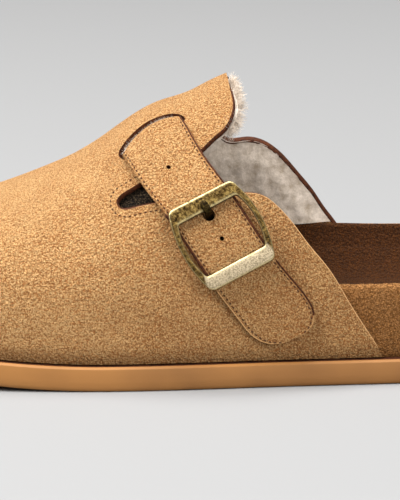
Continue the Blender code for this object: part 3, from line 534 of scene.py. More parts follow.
def buildOutsole():
    turns = soleTurns(outsole["steps"])
    rings = []
    for inset, share in outsoleSide:
        x, y = outlineAt(turns, inset)
        rings.append(np.stack([x, y, liftOf(x) + share * last["soleThickness"]], -1))
    made = ringsPiece("outsoleFoam", rings, [moulded, edgeStain])
    inset = outsoleSide[-4][0] - 0.0001
    edge = np.stack(outlineAt(turns), -1)
    for face in made.data.polygons:  # the top inside the lip takes the dark edge finish as painted shade under the upper's tucked foot
        middle = face.center
        if face.normal.z > 0.3 and middle.z > float(liftOf(middle.x)) + 0.8 * last["soleThickness"]:
            if np.hypot(*(edge - (middle.x, middle.y)).T).min() > inset:
                face.material_index = 1
    points, faces, steps, below = [], [], outsole["grooveSteps"], outsole["grooveReach"]
    for firstShare, count in outsole["firstGrooves"]:
        for g in range(count):
            x = (firstShare - 0.5) * last["length"] + g * outsole["groovePitch"]
            start = len(points)
            left = -float(outerSide(turnOf(shareOf(x)))) * last["ballWidth"] + outsole["grooveMargin"]
            right = float(innerSide(turnOf(shareOf(x)))) * last["ballWidth"] - outsole["grooveMargin"]
            for k in range(steps + 1):
                share = k / steps
                centre = x - outsole["grooveBow"] * math.cos(math.pi * (share - 0.5))
                y, top = left + (right - left) * share, float(liftOf(centre)) + outsole["grooveDepth"]
                w = outsole["grooveWidth"] / 2 * (1 - 0.9 * max(0, abs(share - 0.5) * 2 - 0.97) / 0.03)
                points += [(centre - w, y, below), (centre + w, y, below), (centre + w * 0.8, y, top),
                           (centre - w * 0.8, y, top)]
            faces += [tuple(start + i for i in f) for f in gridFaces(steps + 1, 4)]
            faces += [tuple(start + i for i in (0, 1, 2, 3)), tuple(start + 4 * steps + i for i in (3, 2, 1, 0))]
    tool = newMesh("grooveTool", points, faces, [moulded])
    tidyNormals(tool)
    cutAway(made, [tool])
    finishPiece(made, ["outsole"], 35)


def cutAway(made, tools):
    for tool in tools:
        cut = made.modifiers.new(tool.name, "BOOLEAN")
        cut.operation, cut.solver, cut.object, cut.material_mode = "DIFFERENCE", "EXACT", tool, "TRANSFER"
    applyModifiers(made)
    for tool in tools:
        bpy.data.objects.remove(tool, do_unlink=True)


# Footbed: moulded core wrapped in suede, with a rolled rim; the sock lies in its seat
footbed = {"rimHeight": 0.0285, "rimWidth": 0.0034, "seatFloor": 0.0095, "steepness": 4.5, "steps": 260,
           "spine": (0.14, 0.86), "sockThickness": 0.0016, "sockGap": 0.0005, "sunk": 0.0009, "rollSteps": 9,
           "wallShares": (0.0, 0.04, 0.15, 0.3, 0.45, 0.6, 0.75, 0.9, 1.0),
           "seatShares": (0.0, 0.01, 0.025, 0.045, 0.07, 0.11, 0.16, 0.24, 0.36, 0.52, 0.72, 0.985),
           "sockShares": (0.105, 0.11, 0.13, 0.16, 0.2, 0.27, 0.36, 0.48, 0.62, 0.8, 0.985)}


def seatRing(turns, rimPlan, shareIn, raised=0.0):
    share = np.clip(shareOf(rimPlan[:, 0]), *footbed["spine"])
    spineX = (share - 0.5) * last["length"]
    spineY = (innerSide(turnOf(share)) - outerSide(turnOf(share))) * last["ballWidth"] / 2
    x = rimPlan[:, 0] + (spineX - rimPlan[:, 0]) * shareIn
    y = rimPlan[:, 1] + (spineY - rimPlan[:, 1]) * shareIn
    floor = soleTop(x) + seatFloor(shareOf(x)) * footbed["seatFloor"]
    rim = rimHeight(turns) - footbed["rimWidth"] / 2
    return np.stack([x, y, floor + (rim - floor) * (1 - shareIn) ** footbed["steepness"] + raised], -1)


def buildFootbed():
    turns = soleTurns(footbed["steps"])
    top, roll = rimHeight(turns), footbed["rimWidth"] / 2
    base = soleTop(outlineAt(turns)[0]) - footbed["sunk"]
    depth = last["wall"] + 2 * last["clearance"]
    rings = []
    for shareUp in footbed["wallShares"]:
        heights = base + (top - roll - base) * shareUp
        tucked = 0.0006 * max(0, 1 - shareUp / 0.08) ** 2
        plan = insideFace(turns, heights, depth) + inwardStep(turns, tucked)
        rings.append(np.column_stack([plan, heights]))
    wall = insideFace(turns, top, depth)
    for k in range(1, footbed["rollSteps"]):
        angle = k / footbed["rollSteps"] * math.pi
        step = roll * (1 - math.cos(angle))
        rings.append(np.column_stack([wall + inwardStep(turns, step), top - roll + roll * math.sin(angle)]))
    inner = wall + inwardStep(turns, footbed["rimWidth"])
    for shareIn in footbed["seatShares"]:
        rings.append(seatRing(turns, inner, shareIn))
    made = ringsPiece("footbedWrap", rings, [wallSuede, shadedFootbedSuede])
    seam = wall + inwardStep(turns, footbed["rimWidth"] * 0.5)
    for face in made.data.polygons:  # the wall's wrap outside the seam, the seat's inside it, in the copy darkened as painted shade
        centre = np.array((face.center.x, face.center.y))
        near = np.hypot(*(seam - centre).T).argmin()
        inside = np.dot(seam[near] - centre, -inwardStep(turns[near:near + 1], 1.0)[0])
        face.material_index = int(inside > 0)
    finishPiece(made, ["footbed"], 60)
    gap, thickness = footbed["sockGap"], footbed["sockThickness"]
    shares = footbed["sockShares"]
    under = [seatRing(turns, inner, share, gap) for share in shares[1:]]
    over = [seatRing(turns, inner, share, gap + thickness * min(1, 0.55 + 12 * (share - shares[0])))
            for share in shares]
    sock = ringsPiece("insoleSock", under[::-1] + over, [shadedFootbedSuede])
    finishPiece(sock, ["insole"], 60)


buildOutsole()
buildFootbed()
print("sole and footbed ready")


def softStep(value):
    value = np.clip(value, 0, 1)
    return value * value * (3 - 2 * value)


# Upper: one suede hide over the last, with a real wall, cut edges and listed creases
upper = {"turns": 190, "rises": 62, "lastStation": 0.735, "edgeSteps": 260, "tuck": 0.0016,
         "tuckHeight": 0.0040, "sunk": 0.0006, "toolOverlap": 0.0005}
creaseRows = (  # side, from station and rise, to station and rise, depth, half width
    (-1, 0.300, 0.30, 0.352, 0.62, 0.00055, 0.0060),
    (-1, 0.345, 0.80, 0.372, 0.60, 0.00050, 0.0050),
    (-1, 0.225, 0.62, 0.285, 0.86, 0.00045, 0.0075),
    (-1, 0.395, 0.36, 0.455, 0.16, 0.00045, 0.0070),
    (-1, 0.335, 0.12, 0.420, 0.06, 0.00035, 0.0060),
    (-1, 0.150, 0.40, 0.235, 0.30, -0.00040, 0.0090),
    (-1, 0.375, 0.83, 0.440, 0.90, -0.00060, 0.0040),
    (1, 0.290, 0.55, 0.345, 0.90, 0.00060, 0.0070),
    (1, 0.330, 0.35, 0.395, 0.75, 0.00045, 0.0065),
    (1, 0.400, 0.25, 0.470, 0.55, 0.00050, 0.0090),
    (1, 0.200, 0.35, 0.260, 0.70, -0.00045, 0.0100),
    (1, 0.470, 0.40, 0.540, 0.20, 0.00045, 0.0080),
)


def creaseDepth(points):
    # How far the creases and swells push each point of the hide in or out
    pushed = np.zeros(points.shape[:-1])
    for side, stationA, riseA, stationB, riseB, depth, width in creaseRows:
        share = np.linspace(0, 1, 24)
        turns = side * turnOf(stationA + (stationB - stationA) * share)
        line = lastPoint(turns, riseA + (riseB - riseA) * share)
        away = np.linalg.norm(points[..., None, :] - line, axis=-1)
        nearest = away.argmin(-1)
        fade = np.sin(math.pi * np.clip(share[nearest] * 0.9 + 0.05, 0, 1)) ** 0.7
        pushed -= depth * fade * np.exp(-(away.min(-1) / width) ** 2)
    return pushed


def edgeLine(rows, steps, spread=0.0):
    # Smooth curve of an edge; spread moves it backwards, square to itself
    station, height = columns(rows)
    x, z = (station - 0.5) * last["length"], last["soleThickness"] + height * last["instepHeight"]
    run = np.concatenate([[0], np.cumsum(np.hypot(np.diff(x), np.diff(z)))])
    at = np.linspace(0, run[-1], steps)
    x, z = smoothCurve(run, x)(at), smoothCurve(run, z)(at)
    slopeX, slopeZ = np.gradient(x), np.gradient(z)
    size = np.hypot(slopeX, slopeZ)
    return x - slopeZ / size * spread, z + slopeX / size * spread


def edgeTool(name, rows, side, material, spread=0.0):
    x, z = edgeLine(rows, upper["edgeSteps"], spread)
    middle = float(crestShift(0.51)) * last["ballWidth"] - side * upper["toolOverlap"]
    far = last["length"] * 0.4
    flat = list(zip(x, z)) + [(far, z[-1]), (far, z[0])]
    count = len(flat)
    points = [(px, middle, pz) for px, pz in flat] + [(px, side * last["ballWidth"], pz) for px, pz in flat]
    faces = [tuple(range(count)), tuple(reversed(range(count, 2 * count)))]
    faces += [(i, (i + 1) % count, count + (i + 1) % count, count + i) for i in range(count)]
    tool = newMesh(name, points, faces, [material])
    tidyNormals(tool)
    return tool


# Strap: out of the crescent slot, under both bars of the buckle, with a free round end
strap = {"width": 0.0205, "thickness": 0.0017, "lean": math.radians(59.9), "crestShear": 0.374, "tail": 0.0080,
         "tip": 0.0355, "tipRound": 0.0105, "tipFullness": 2.6, "hole": 0.0013, "gap": 0.0005,
         "station": 0.4962, "drop": 0.0646, "steps": 170, "rows": 19, "edgeRound": 0.00055, "edgeSteps": 6,
         "crown": 0.00012, "holeSides": 24, "holeReach": (-0.001, 0.007)}
strapRows = (  # along, middle line and half width, as shares of the strap's width
    (-3.00, 0.044, 0.512), (-2.10, 0.030, 0.516), (-1.27, -0.085, 0.522), (-0.78, -0.090, 0.518),
    (-0.29, -0.040, 0.502), (0.34, 0.020, 0.496), (0.63, 0.048, 0.510), (1.12, 0.150, 0.535),
    (1.76, 0.235, 0.546),
)
strapHoles = ((-0.0249, -0.0030), (0.0008, -0.0003))
buckle = {"length": 0.0252, "window": 0.0200, "bar": 0.0045, "sideBar": 0.00075, "thickness": 0.0019,
          "corner": 0.0014, "outerBow": 0.0026, "innerBow": 0.0017, "riseBefore": 0.0120,
          "riseAfter": 0.0080, "cornerSteps": 8, "sideSteps": 16, "barSteps": 8, "section": 28,
          "sideFullness": 0.42, "topFullness": 0.55, "darkTurns": (150, 290), "arrisTurns": (40, 140),
          "arrisSpread": 17, "arrisShine": 0.75, "brushedTurns": (50, 130), "brushedMargin": 0.0008,
          "prongWidth": 0.0024, "prongThickness": 0.0012, "prongLap": 0.0028, "prongSteps": 60,
          "prongSides": 16, "prongFullness": 0.6, "prongTaper": 0.0012}
slot = {"back": 0.0470, "width": 0.0058, "length": 0.0240, "middle": 0.0009, "peak": 0.0034, "sag": 0.0033,
        "endFullness": 12, "reach": (-0.0044, 0.0022), "steps": 40}
buckle["strapLift"] = 2 * last["clearance"] + buckle["prongThickness"]
buckle["barLift"] = buckle["strapLift"] + strap["thickness"] + last["clearance"]


# Cross-sections of the last's outer side that carry the strap: stations, turns, rises and drops
skinSteps = {"stations": (0.30, 0.68, 96), "turns": (0.22, 0.75, 600), "rises": 220, "drops": (0, 0.105, 500)}


def sectionTable():
    stations = np.linspace(*skinSteps["stations"])
    firstTurn, lastTurn, count = skinSteps["turns"]
    turns = -np.linspace(turnOf(firstTurn), turnOf(lastTurn), count)
    footX = outlineAt(turns, last["welt"])[0]
    table = []
    for share in stations:
        turn = np.interp((share - 0.5) * last["length"], footX, turns)
        points = lastPoint(turn, np.linspace(1, 0, skinSteps["rises"]))
        run = np.concatenate([[0], np.cumsum(np.linalg.norm(np.diff(points, axis=0), axis=1))])
        drops = np.linspace(*skinSteps["drops"])
        table.append(np.stack([np.interp(drops, run, points[:, k]) for k in range(3)], -1))
    return (stations - 0.5) * last["length"], drops, np.array(table)


sectionX, sectionDrops, sections = sectionTable()


def skinPoint(x, drop):
    # Outer side of the last at station x, so far down from the crest
    i = (x - sectionX[0]) / (sectionX[1] - sectionX[0])
    j = (drop - sectionDrops[0]) / (sectionDrops[1] - sectionDrops[0])
    i, j = np.clip(i, 0, len(sectionX) - 1.001), np.clip(j, 0, len(sectionDrops) - 1.001)
    a, b = i.astype(int), j.astype(int)
    u, v = (i - a)[..., None], (j - b)[..., None]
    low = sections[a, b] * (1 - v) + sections[a, b + 1] * v
    high = sections[a + 1, b] * (1 - v) + sections[a + 1, b + 1] * v
    return low * (1 - u) + high * u


def strapPoint(along, across, lift):
    # Place over the upper in the strap's own directions, from the buckle's middle
    along, across, lift = np.broadcast_arrays(*(np.asarray(v, float) for v in (along, across, lift)))
    cosine, sine = math.cos(strap["lean"]), math.sin(strap["lean"])
    middleX = (strap["station"] - 0.5) * last["length"]

    def onSkin(a, b):
        run = a * cosine + b * sine
        return skinPoint(middleX + run, strap["drop"] + a * sine - b * cosine + strap["crestShear"] * run)

    step = 0.0012
    forward = onSkin(along + step, across) - onSkin(along - step, across)
    sideways = onSkin(along, across + step) - onSkin(along, across - step)
    normal = np.cross(sideways, forward)
    normal /= np.linalg.norm(normal, axis=-1, keepdims=True)
    normal = np.where(normal[..., 1:2] > 0, -normal, normal)
    return onSkin(along, across) + normal * lift[..., None]


def slotBow(across):
    return slot["sag"] * ((across - slot["peak"]) / (slot["length"] / 2)) ** 2


def slotTool(material):
    steps, half = slot["steps"], slot["length"] / 2
    share = np.cos(np.linspace(0, math.pi, steps + 1))
    across = slot["middle"] + half * share
    width = slot["width"] * np.sqrt(np.clip(1 - np.abs(share) ** slot["endFullness"], 0, 1))
    centre = -slot["back"] + slotBow(across) + slot["width"] / 2
    backLine, frontLine = centre - width / 2, (centre + width / 2)[::-1][1:-1]
    along = np.concatenate([backLine, frontLine])
    side = np.concatenate([across, across[::-1][1:-1]])
    count = len(along)
    points = np.concatenate([strapPoint(along, side, lift) for lift in slot["reach"]])
    faces = [(i, (i + 1) % count, count + (i + 1) % count, count + i) for i in range(count)]
    for start in (0, count):
        for i in range(steps):
            quad = [i, i + 1, count - i - 1, (count - i) % count]
            faces.append(tuple(start + k for k in dict.fromkeys(quad)))
    tool = newMesh("slotTool", points, faces, [material])
    tidyNormals(tool)
    return tool


def shellPiece(name, outer, inner, material):
    # Closed shell from two grids that share their crest, over the toe's pole
    rows, count = outer.shape[:2]
    points = np.concatenate([outer.reshape(-1, 3), inner.reshape(-1, 3)])
    total = rows * count
    faces = []
    for r in range(rows - 1):
        for i in range(count - 1):
            a, b, c, d = r * count + i, r * count + i + 1, (r + 1) * count + i + 1, (r + 1) * count + i
            faces += [(a, b, c, d), (total + d, total + c, total + b, total + a)]
        faces.append((r * count, (r + 1) * count, total + (r + 1) * count, total + r * count))
    for start in (0, (rows - 1) * count):
        for i in range(count - 1):
            a, b = start + i, start + i + 1
            faces.append((a, b, total + b, total + a))
    made = newMesh(name, points, faces, [material])
    tidyNormals(made, 4e-6)
    return made


def upperGrid(depth, rise):
    # Points so deep under the hide's outer face; rise is a row for each turn, from the feather line up
    stop = float(turnOf(upper["lastStation"]))
    turns = np.linspace(-stop, stop, len(rise))[:, None]
    points, normal = lastPoint(turns, rise), surfaceNormal(turns + 0 * rise, rise)
    # At the crest both sides take one upright normal, so that the shell closes there
    pole = np.abs(turns[:, 0]) < float(turnOf(crestRows[0][0]))
    normal[:, -1] = (normal[:, -2] + normal[::-1, -2]) / 2
    normal[pole, -1] = np.array((-last["toeSlope"], 0, 1)) / math.hypot(last["toeSlope"], 1)
    normal /= np.linalg.norm(normal, axis=-1, keepdims=True)
    height = points[..., 2] - lastPoint(turns, 0 * rise[:, :1])[..., 2]
    tuck = upper["tuck"] * np.clip(1 - height / upper["tuckHeight"], 0, 1) ** 2
    push = creaseDepth(points)
    push[:, -1] = (push[:, -1] + push[::-1, -1]) / 2
    push[pole, -1] = 0
    points = points + normal * (push - depth)[..., None]
    points[..., :2] += inwardStep(turns[:, 0], 1.0)[:, None, :] * tuck[..., None]
    return points


def buildUpper():
    rise = np.tile(np.linspace(0, 1, upper["rises"]) ** 1.12, (2 * upper["turns"] + 1, 1))
    outer, inner = upperGrid(0.0, rise), upperGrid(last["wall"], rise)
    for grid in (outer, inner):
        grid[:, 0, 2] = soleTop(grid[:, 0, 0]) - upper["sunk"]
    made = shellPiece("upperHide", outer, inner, upperSuede)
    cutAway(made, [edgeTool("outerEdge", outerEdgeRows, -1, edgeStain),
                   edgeTool("innerEdge", innerEdgeRows, 1, edgeStain), slotTool(edgeStain)])
    finishPiece(made, ["upper"], 42)


buildUpper()
print("upper ready")


def strapLift(along, across):
    inside = -(last["wall"] + strap["gap"] + strap["thickness"])
    lift = inside + (strap["gap"] - inside) * softStep((along + slot["back"] - slotBow(across)) / slot["width"])
    bar = buckle["length"] / 2
    rise = softStep((along + bar) / buckle["riseBefore"] + 1) * softStep((bar - along) / buckle["riseAfter"] + 1)
    return lift + (buckle["strapLift"] - strap["gap"]) * rise


def strapSides(along):
    # Middle line and half width; the free end is a full round
    places, middle, half = columns(strapRows)
    past = np.clip(along - (strap["tip"] - strap["tipRound"]), 0, None) / strap["tipRound"]
    left = np.clip(1 - past ** strap["tipFullness"], 0, 1) ** (1 / strap["tipFullness"])
    share = along / strap["width"]
    return (smoothCurve(places, middle)(share) * strap["width"],
            smoothCurve(places, half)(share) * strap["width"] * left)


def strapHoleTool(along, across, radius, material):
    sides = strap["holeSides"]
    angle = np.linspace(0, 2 * math.pi, sides, endpoint=False)
    ring = [strapPoint(along + radius * np.cos(angle), across + radius * np.sin(angle), lift)
            for lift in strap["holeReach"]]
    faces = [(i, (i + 1) % sides, sides + (i + 1) % sides, sides + i) for i in range(sides)]
    faces += [tuple(reversed(range(sides))), tuple(range(sides, 2 * sides))]
    tool = newMesh("strapHoleTool", np.concatenate(ring), faces, [material])
    tidyNormals(tool)
    return tool


def buildStrap():
    start, tipStart = -(slot["back"] + strap["tail"]), strap["tip"] - strap["tipRound"]
    ends = tipStart + strap["tipRound"] * np.sin(np.linspace(0, math.pi / 2, 30)[1:-1])
    along = np.concatenate([np.linspace(start, tipStart, strap["steps"]), ends])
    middle, half = strapSides(along)
    profile = []  # across as a share of the half width less the round, step out, share of the thickness
    for share in np.linspace(-1, 1, strap["rows"]):
        profile.append((share, 0.0, 0.0))
    angles = [k / strap["edgeSteps"] * math.pi for k in range(1, strap["edgeSteps"])]
    profile += [(1.0, math.sin(angle), (1 - math.cos(angle)) / 2) for angle in angles]
    for share in np.linspace(1, -1, strap["rows"]):
        profile.append((share, 0.0, 1.0))
    profile += [(-1.0, -math.sin(angle), (1 + math.cos(angle)) / 2) for angle in angles]
    rings = []
    for share, out, up in profile:
        side = middle + share * np.maximum(half - strap["edgeRound"], 0.0002) + out * strap["edgeRound"]
        crown = strap["crown"] * (1 - share ** 2) * up
        rings.append(strapPoint(along, side, strapLift(along, side) + up * strap["thickness"] + crown))
    points = np.stack(rings, 1).reshape(-1, 3)
    count = len(profile)
    made = newMesh("strapHide", points, tubeFaces(len(along), count), [upperSuede])
    tidyNormals(made)
    holes = [strapHoleTool(*place, strap["hole"] / 2, edgeStain) for place in strapHoles]
    holes.append(strapHoleTool(prongPlace(), 0.0, buckle["prongWidth"] / 2 + 2 * last["clearance"], edgeStain))
    cutAway(made, holes)
    finishPiece(made, ["strap"], 50)


def prongPlace():
    return -(buckle["length"] / 2 - buckle["bar"] - buckle["prongWidth"] / 2)


# Buckle: cast frame bowed over the quarter, broad bars at top and bottom, thin sides
def framePoint(along, across, lift):
    spine = strapPoint(along, 0.0, lift)
    left = strapPoint(along, -buckle["window"] / 2, lift)
    right = strapPoint(along, buckle["window"] / 2, lift)
    direction = (right - left) / np.linalg.norm(right - left, axis=-1, keepdims=True)
    return (left + right + 2 * spine) / 4 + direction * np.asarray(across)[..., None]


def frameLoop(halfLength, halfWidth, corner, sideBow):
    points = []
    for index, (sx, sy) in enumerate(((1, 1), (-1, 1), (-1, -1), (1, -1))):
        for k in range(buckle["cornerSteps"] + 1):
            angle = math.radians(index * 90 + k * 90 / buckle["cornerSteps"])
            points.append((sx * (halfLength - corner) + corner * math.cos(angle),
                           sy * (halfWidth - corner) + corner * math.sin(angle)))
        if sx == sy:
            shares = [1 - 2 * k / buckle["sideSteps"] for k in range(1, buckle["sideSteps"])]
            points += [(sx * share * (halfLength - corner), sy * halfWidth) for share in shares]
        else:
            shares = [1 - 2 * k / buckle["barSteps"] for k in range(1, buckle["barSteps"])]
            points += [(sx * halfLength, sy * share * (halfWidth - corner)) for share in shares]
    along, across = np.array(points).T
    bow = sideBow * (1 - (along / halfLength) ** 2)
    return along, across + np.sign(across) * bow * np.clip(np.abs(across) / (halfWidth - corner), 0, 1)


def buildBuckle():
    inner, section = buckle["window"] / 2, buckle["section"]
    outerLoop = frameLoop(buckle["length"] / 2, inner + buckle["sideBar"], buckle["corner"], buckle["outerBow"])
    innerLoop = frameLoop(buckle["length"] / 2 - buckle["bar"], inner, buckle["corner"] / 2, buckle["innerBow"])
    rings = []
    for k in range(section):
        angle = 2 * math.pi * k / section
        side, up = math.cos(angle), math.sin(angle)
        share = 0.5 - 0.5 * math.copysign(abs(side) ** buckle["sideFullness"], side)
        height = 0.5 + 0.5 * math.copysign(abs(up) ** buckle["topFullness"], up)
        along = outerLoop[0] + (innerLoop[0] - outerLoop[0]) * share
        across = outerLoop[1] + (innerLoop[1] - outerLoop[1]) * share
        rings.append(framePoint(along, across, buckle["barLift"] + height * buckle["thickness"]))
    count = len(rings[0])
    start = (section - 1) * count
    closing = [(start + i, start + (i + 1) % count, (i + 1) % count, i) for i in range(count)]
    made = newMesh("buckleBrass", np.concatenate(rings), gridFaces(section, count) + closing, [brass, shadedBrass])
    firstDark, lastDark = buckle["darkTurns"]  # the faces towards the window and the strap take the darker brass as painted shade
    for k, turned in enumerate(360 * (np.arange(section) + 0.5) / section):
        if firstDark < turned < lastDark:
            for face in range(k * count, (k + 1) * count):
                made.data.polygons[face].material_index = 1
    angle = np.repeat(np.degrees(2 * math.pi * np.arange(section) / section), count)
    arris = sum(np.exp(-((angle - turn) / buckle["arrisSpread"]) ** 2) for turn in buckle["arrisTurns"])
    along = np.tile(np.minimum(outerLoop[0], innerLoop[0]), section)
    lower = along > buckle["length"] / 2 - buckle["bar"] - buckle["brushedMargin"]
    first, stop = buckle["brushedTurns"]
    upwards = (angle > first) & (angle < stop)
    for name, values in (("rubbed", buckle["arrisShine"] * arris), ("brushed", lower * upwards)):
        made.data.attributes.new(name, "FLOAT", "POINT").data.foreach_set("value", values.astype(float))
    tidyNormals(made)
    finishPiece(made, ["buckle_frame"], 70)


def buildProng():
    under = last["clearance"] + buckle["prongThickness"] / 2
    over = buckle["barLift"] + buckle["thickness"] + last["clearance"] + buckle["prongThickness"] / 2
    barInner = -(buckle["length"] / 2 - buckle["bar"])
    route = np.array(((buckle["length"] / 2 - buckle["bar"] / 2, under), (0.0, under),
                      (prongPlace() + 0.0008, under), (prongPlace() + 0.0002, (under + over) / 2),
                      (barInner + 0.0002, over - 0.0001), (barInner - buckle["prongLap"], over)))
    run = np.concatenate([[0], np.cumsum(np.hypot(*np.diff(route, axis=0).T))])
    at = np.linspace(0, run[-1], buckle["prongSteps"])
    along, lift = np.interp(at, run, route[:, 0]), np.interp(at, run, route[:, 1])
    for _ in range(3):
        along[1:-1] = (along[:-2] + 2 * along[1:-1] + along[2:]) / 4
        lift[1:-1] = (lift[:-2] + 2 * lift[1:-1] + lift[2:]) / 4
    stepAlong, stepLift = np.gradient(along), np.gradient(lift)
    size = np.hypot(stepAlong, stepLift)
    taper = np.clip((run[-1] - at) / buckle["prongTaper"], 0.0, 1.0) ** 0.5 * 0.75 + 0.25
    rings, sides, full = [], buckle["prongSides"], buckle["prongFullness"]
    for k in range(sides):
        angle = 2 * math.pi * k / sides
        side = buckle["prongWidth"] / 2 * math.copysign(abs(math.cos(angle)) ** full, math.cos(angle)) * taper
        up = buckle["prongThickness"] / 2 * math.copysign(abs(math.sin(angle)) ** full, math.sin(angle)) * taper
        rings.append(strapPoint(along + stepLift / size * up, side, lift - stepAlong / size * up))
    points = np.stack(rings, 1).reshape(-1, 3)
    # The prong takes the darker brass copy made as painted shade
    made = newMesh("prongBrass", points, tubeFaces(buckle["prongSteps"], sides), [shadedBrass])
    tidyNormals(made)
    finishPiece(made, ["buckle_prong"], 60)


buildStrap()
buildBuckle()
buildProng()
print("strap and buckle ready")


# Wool lining: a lumpy pile inside the hide from the footbed's rim up, fringed at the throat
pile = {"turns": 150, "rises": 54, "gap": 0.00025, "depth": 0.0030, "lump": 0.0005, "lumpSize": 0.0034,
        "proudFlap": 0.0020, "proudTip": 0.0003, "proudQuarter": -0.0030, "proudFar": -0.0006,
        "tipFrom": 0.96, "tipOver": 0.10, "quarterFrom": 0.80, "quarterOver": 0.08,
        "thinBelow": 0.84, "thinOver": 0.007, "thinBy": 0.8, "rimGap": 0.0004, "seed": 7,
        "tailRoom": 0.0026, "tailAcross": (-0.009, 0.010), "tailAhead": 0.005, "tailSteps": 12,
        "tailNear": 0.0015, "tailFade": 0.004}
fibres = {"fringeDensity": 2.0e7, "length": 0.0032, "slotDensity": 1.5e7, "slotLength": 0.0010, "seed": 11,
          "fringeFrom": 0.5075, "fringeOver": 0.01, "fringeAbove": 0.84, "fringeTurn": 0.6, "middleZ": 0.05}


def lumps(points, size, seed, waves=14):
    # Soft repeatable lumps from a few sine waves laid in random directions
    rng = np.random.default_rng(seed)
    total = np.zeros(points.shape[:-1])
    for _ in range(waves):
        way = rng.normal(size=3)
        way /= np.linalg.norm(way)
        total += np.sin(points @ way * 2 * math.pi / (size * rng.uniform(0.6, 1.8)) + rng.uniform(0, 6.3))
    return total / waves ** 0.5


def treeSockets(name, inputs):
    # New tree with its geometry sockets and its named inputs
    tree = bpy.data.node_groups.new(name, "GeometryNodeTree")
    tree.interface.new_socket("Geometry", in_out="INPUT", socket_type="NodeSocketGeometry")
    for label, kind in inputs:
        tree.interface.new_socket(label, in_out="INPUT", socket_type=kind)
    tree.interface.new_socket("Geometry", in_out="OUTPUT", socket_type="NodeSocketGeometry")
    return tree, addNode(tree, "NodeGroupInput").outputs


def runTree(made, tree, values):
    # Gives the inputs by their sockets' identifiers, then makes the result a plain mesh
    grow = made.modifiers.new(tree.name, "NODES")
    grow.node_group = tree
    for socket in tree.interface.items_tree:
        if socket.in_out == "INPUT" and socket.name in values:
            grow[socket.identifier] = values[socket.name]
    applyModifiers(made)


def fibreTree():
    # Scatters tapered, bent fibres over the pile and lays them along its normals
    tree, given = treeSockets("wool fibres", (("Density", "NodeSocketFloat"), ("Length", "NodeSocketFloat"),
                                              ("Seed", "NodeSocketInt")))
    fringe = addNode(tree, "GeometryNodeInputNamedAttribute", {"Name": "fringe"}, data_type="FLOAT")
    amount = addNode(tree, "ShaderNodeMath", {0: given["Density"], 1: fringe.outputs["Attribute"]},
                     operation="MULTIPLY").outputs[0]
    dots = addNode(tree, "GeometryNodeDistributePointsOnFaces",
                   {"Mesh": given["Geometry"], "Density": amount, "Seed": given["Seed"]}).outputs
    fibre = addNode(tree, "GeometryNodeCurveQuadraticBezier",
                    {"Resolution": 4, "Start": (0, 0, -0.25), "Middle": (0, 0.12, 0.45), "End": (0, 0.55, 0.85)})
    size = addNode(tree, "GeometryNodeCurvePrimitiveCircle", {"Resolution": 3, "Radius": 0.02}, mode="RADIUS")
    along = addNode(tree, "GeometryNodeSplineParameter").outputs["Factor"]
    taper = addNode(tree, "ShaderNodeMapRange", {"Value": along, "To Min": 1.0, "To Max": 0.35}).outputs["Result"]
    strand = addNode(tree, "GeometryNodeCurveToMesh",
                     {"Curve": fibre.outputs["Curve"], "Profile Curve": size.outputs["Curve"], "Scale": taper,
                      "Fill Caps": True}).outputs["Mesh"]
    turn = addNode(tree, "FunctionNodeRandomValue", {"Min": (-0.7, -0.7, 0.0), "Max": (0.7, 0.7, 6.28),
                                                     "Seed": given["Seed"]}, data_type="FLOAT_VECTOR").outputs[0]
    facing = addNode(tree, "FunctionNodeRotateRotation", {"Rotation": dots["Rotation"], "Rotate By": turn},
                     rotation_space="LOCAL").outputs["Rotation"]
    long = addNode(tree, "FunctionNodeRandomValue", {2: 0.45, 3: 1.2, "Seed": given["Seed"]},
                   data_type="FLOAT").outputs[1]
    long = addNode(tree, "ShaderNodeMath", {0: long, 1: given["Length"]}, operation="MULTIPLY").outputs[0]
    laid = addNode(tree, "GeometryNodeInstanceOnPoints",
                   {"Points": dots["Points"], "Instance": strand, "Rotation": facing, "Scale": long}).outputs
    real = addNode(tree, "GeometryNodeRealizeInstances", {"Geometry": laid["Instances"]}).outputs["Geometry"]
    both = addNode(tree, "GeometryNodeJoinGeometry", {"Geometry": real})
    tree.links.new(given["Geometry"], both.inputs["Geometry"])
    painted = addNode(tree, "GeometryNodeSetMaterial", {"Geometry": both.outputs["Geometry"],
                                                        "Material": woolFleece}).outputs["Geometry"]
    addNode(tree, "NodeGroupOutput", {"Geometry": painted})
    return tree


def growFibres(made, density, length):
    runTree(made, fibreTree(), {"Density": density, "Length": length, "Seed": fibres["seed"]})


def pileSpread(rows, proudBelow):
    # How far the pile stands past a cut edge: least at the quarter and at the flap's tip
    height = (edgeLine(rows, upper["edgeSteps"])[1] - last["soleThickness"]) / last["instepHeight"]
    tip = softStep((height - pile["tipFrom"]) / pile["tipOver"])
    proud = pile["proudFlap"] + (pile["proudTip"] - pile["proudFlap"]) * tip
    return proudBelow + (proud - proudBelow) * softStep((height - pile["quarterFrom"]) / pile["quarterOver"])


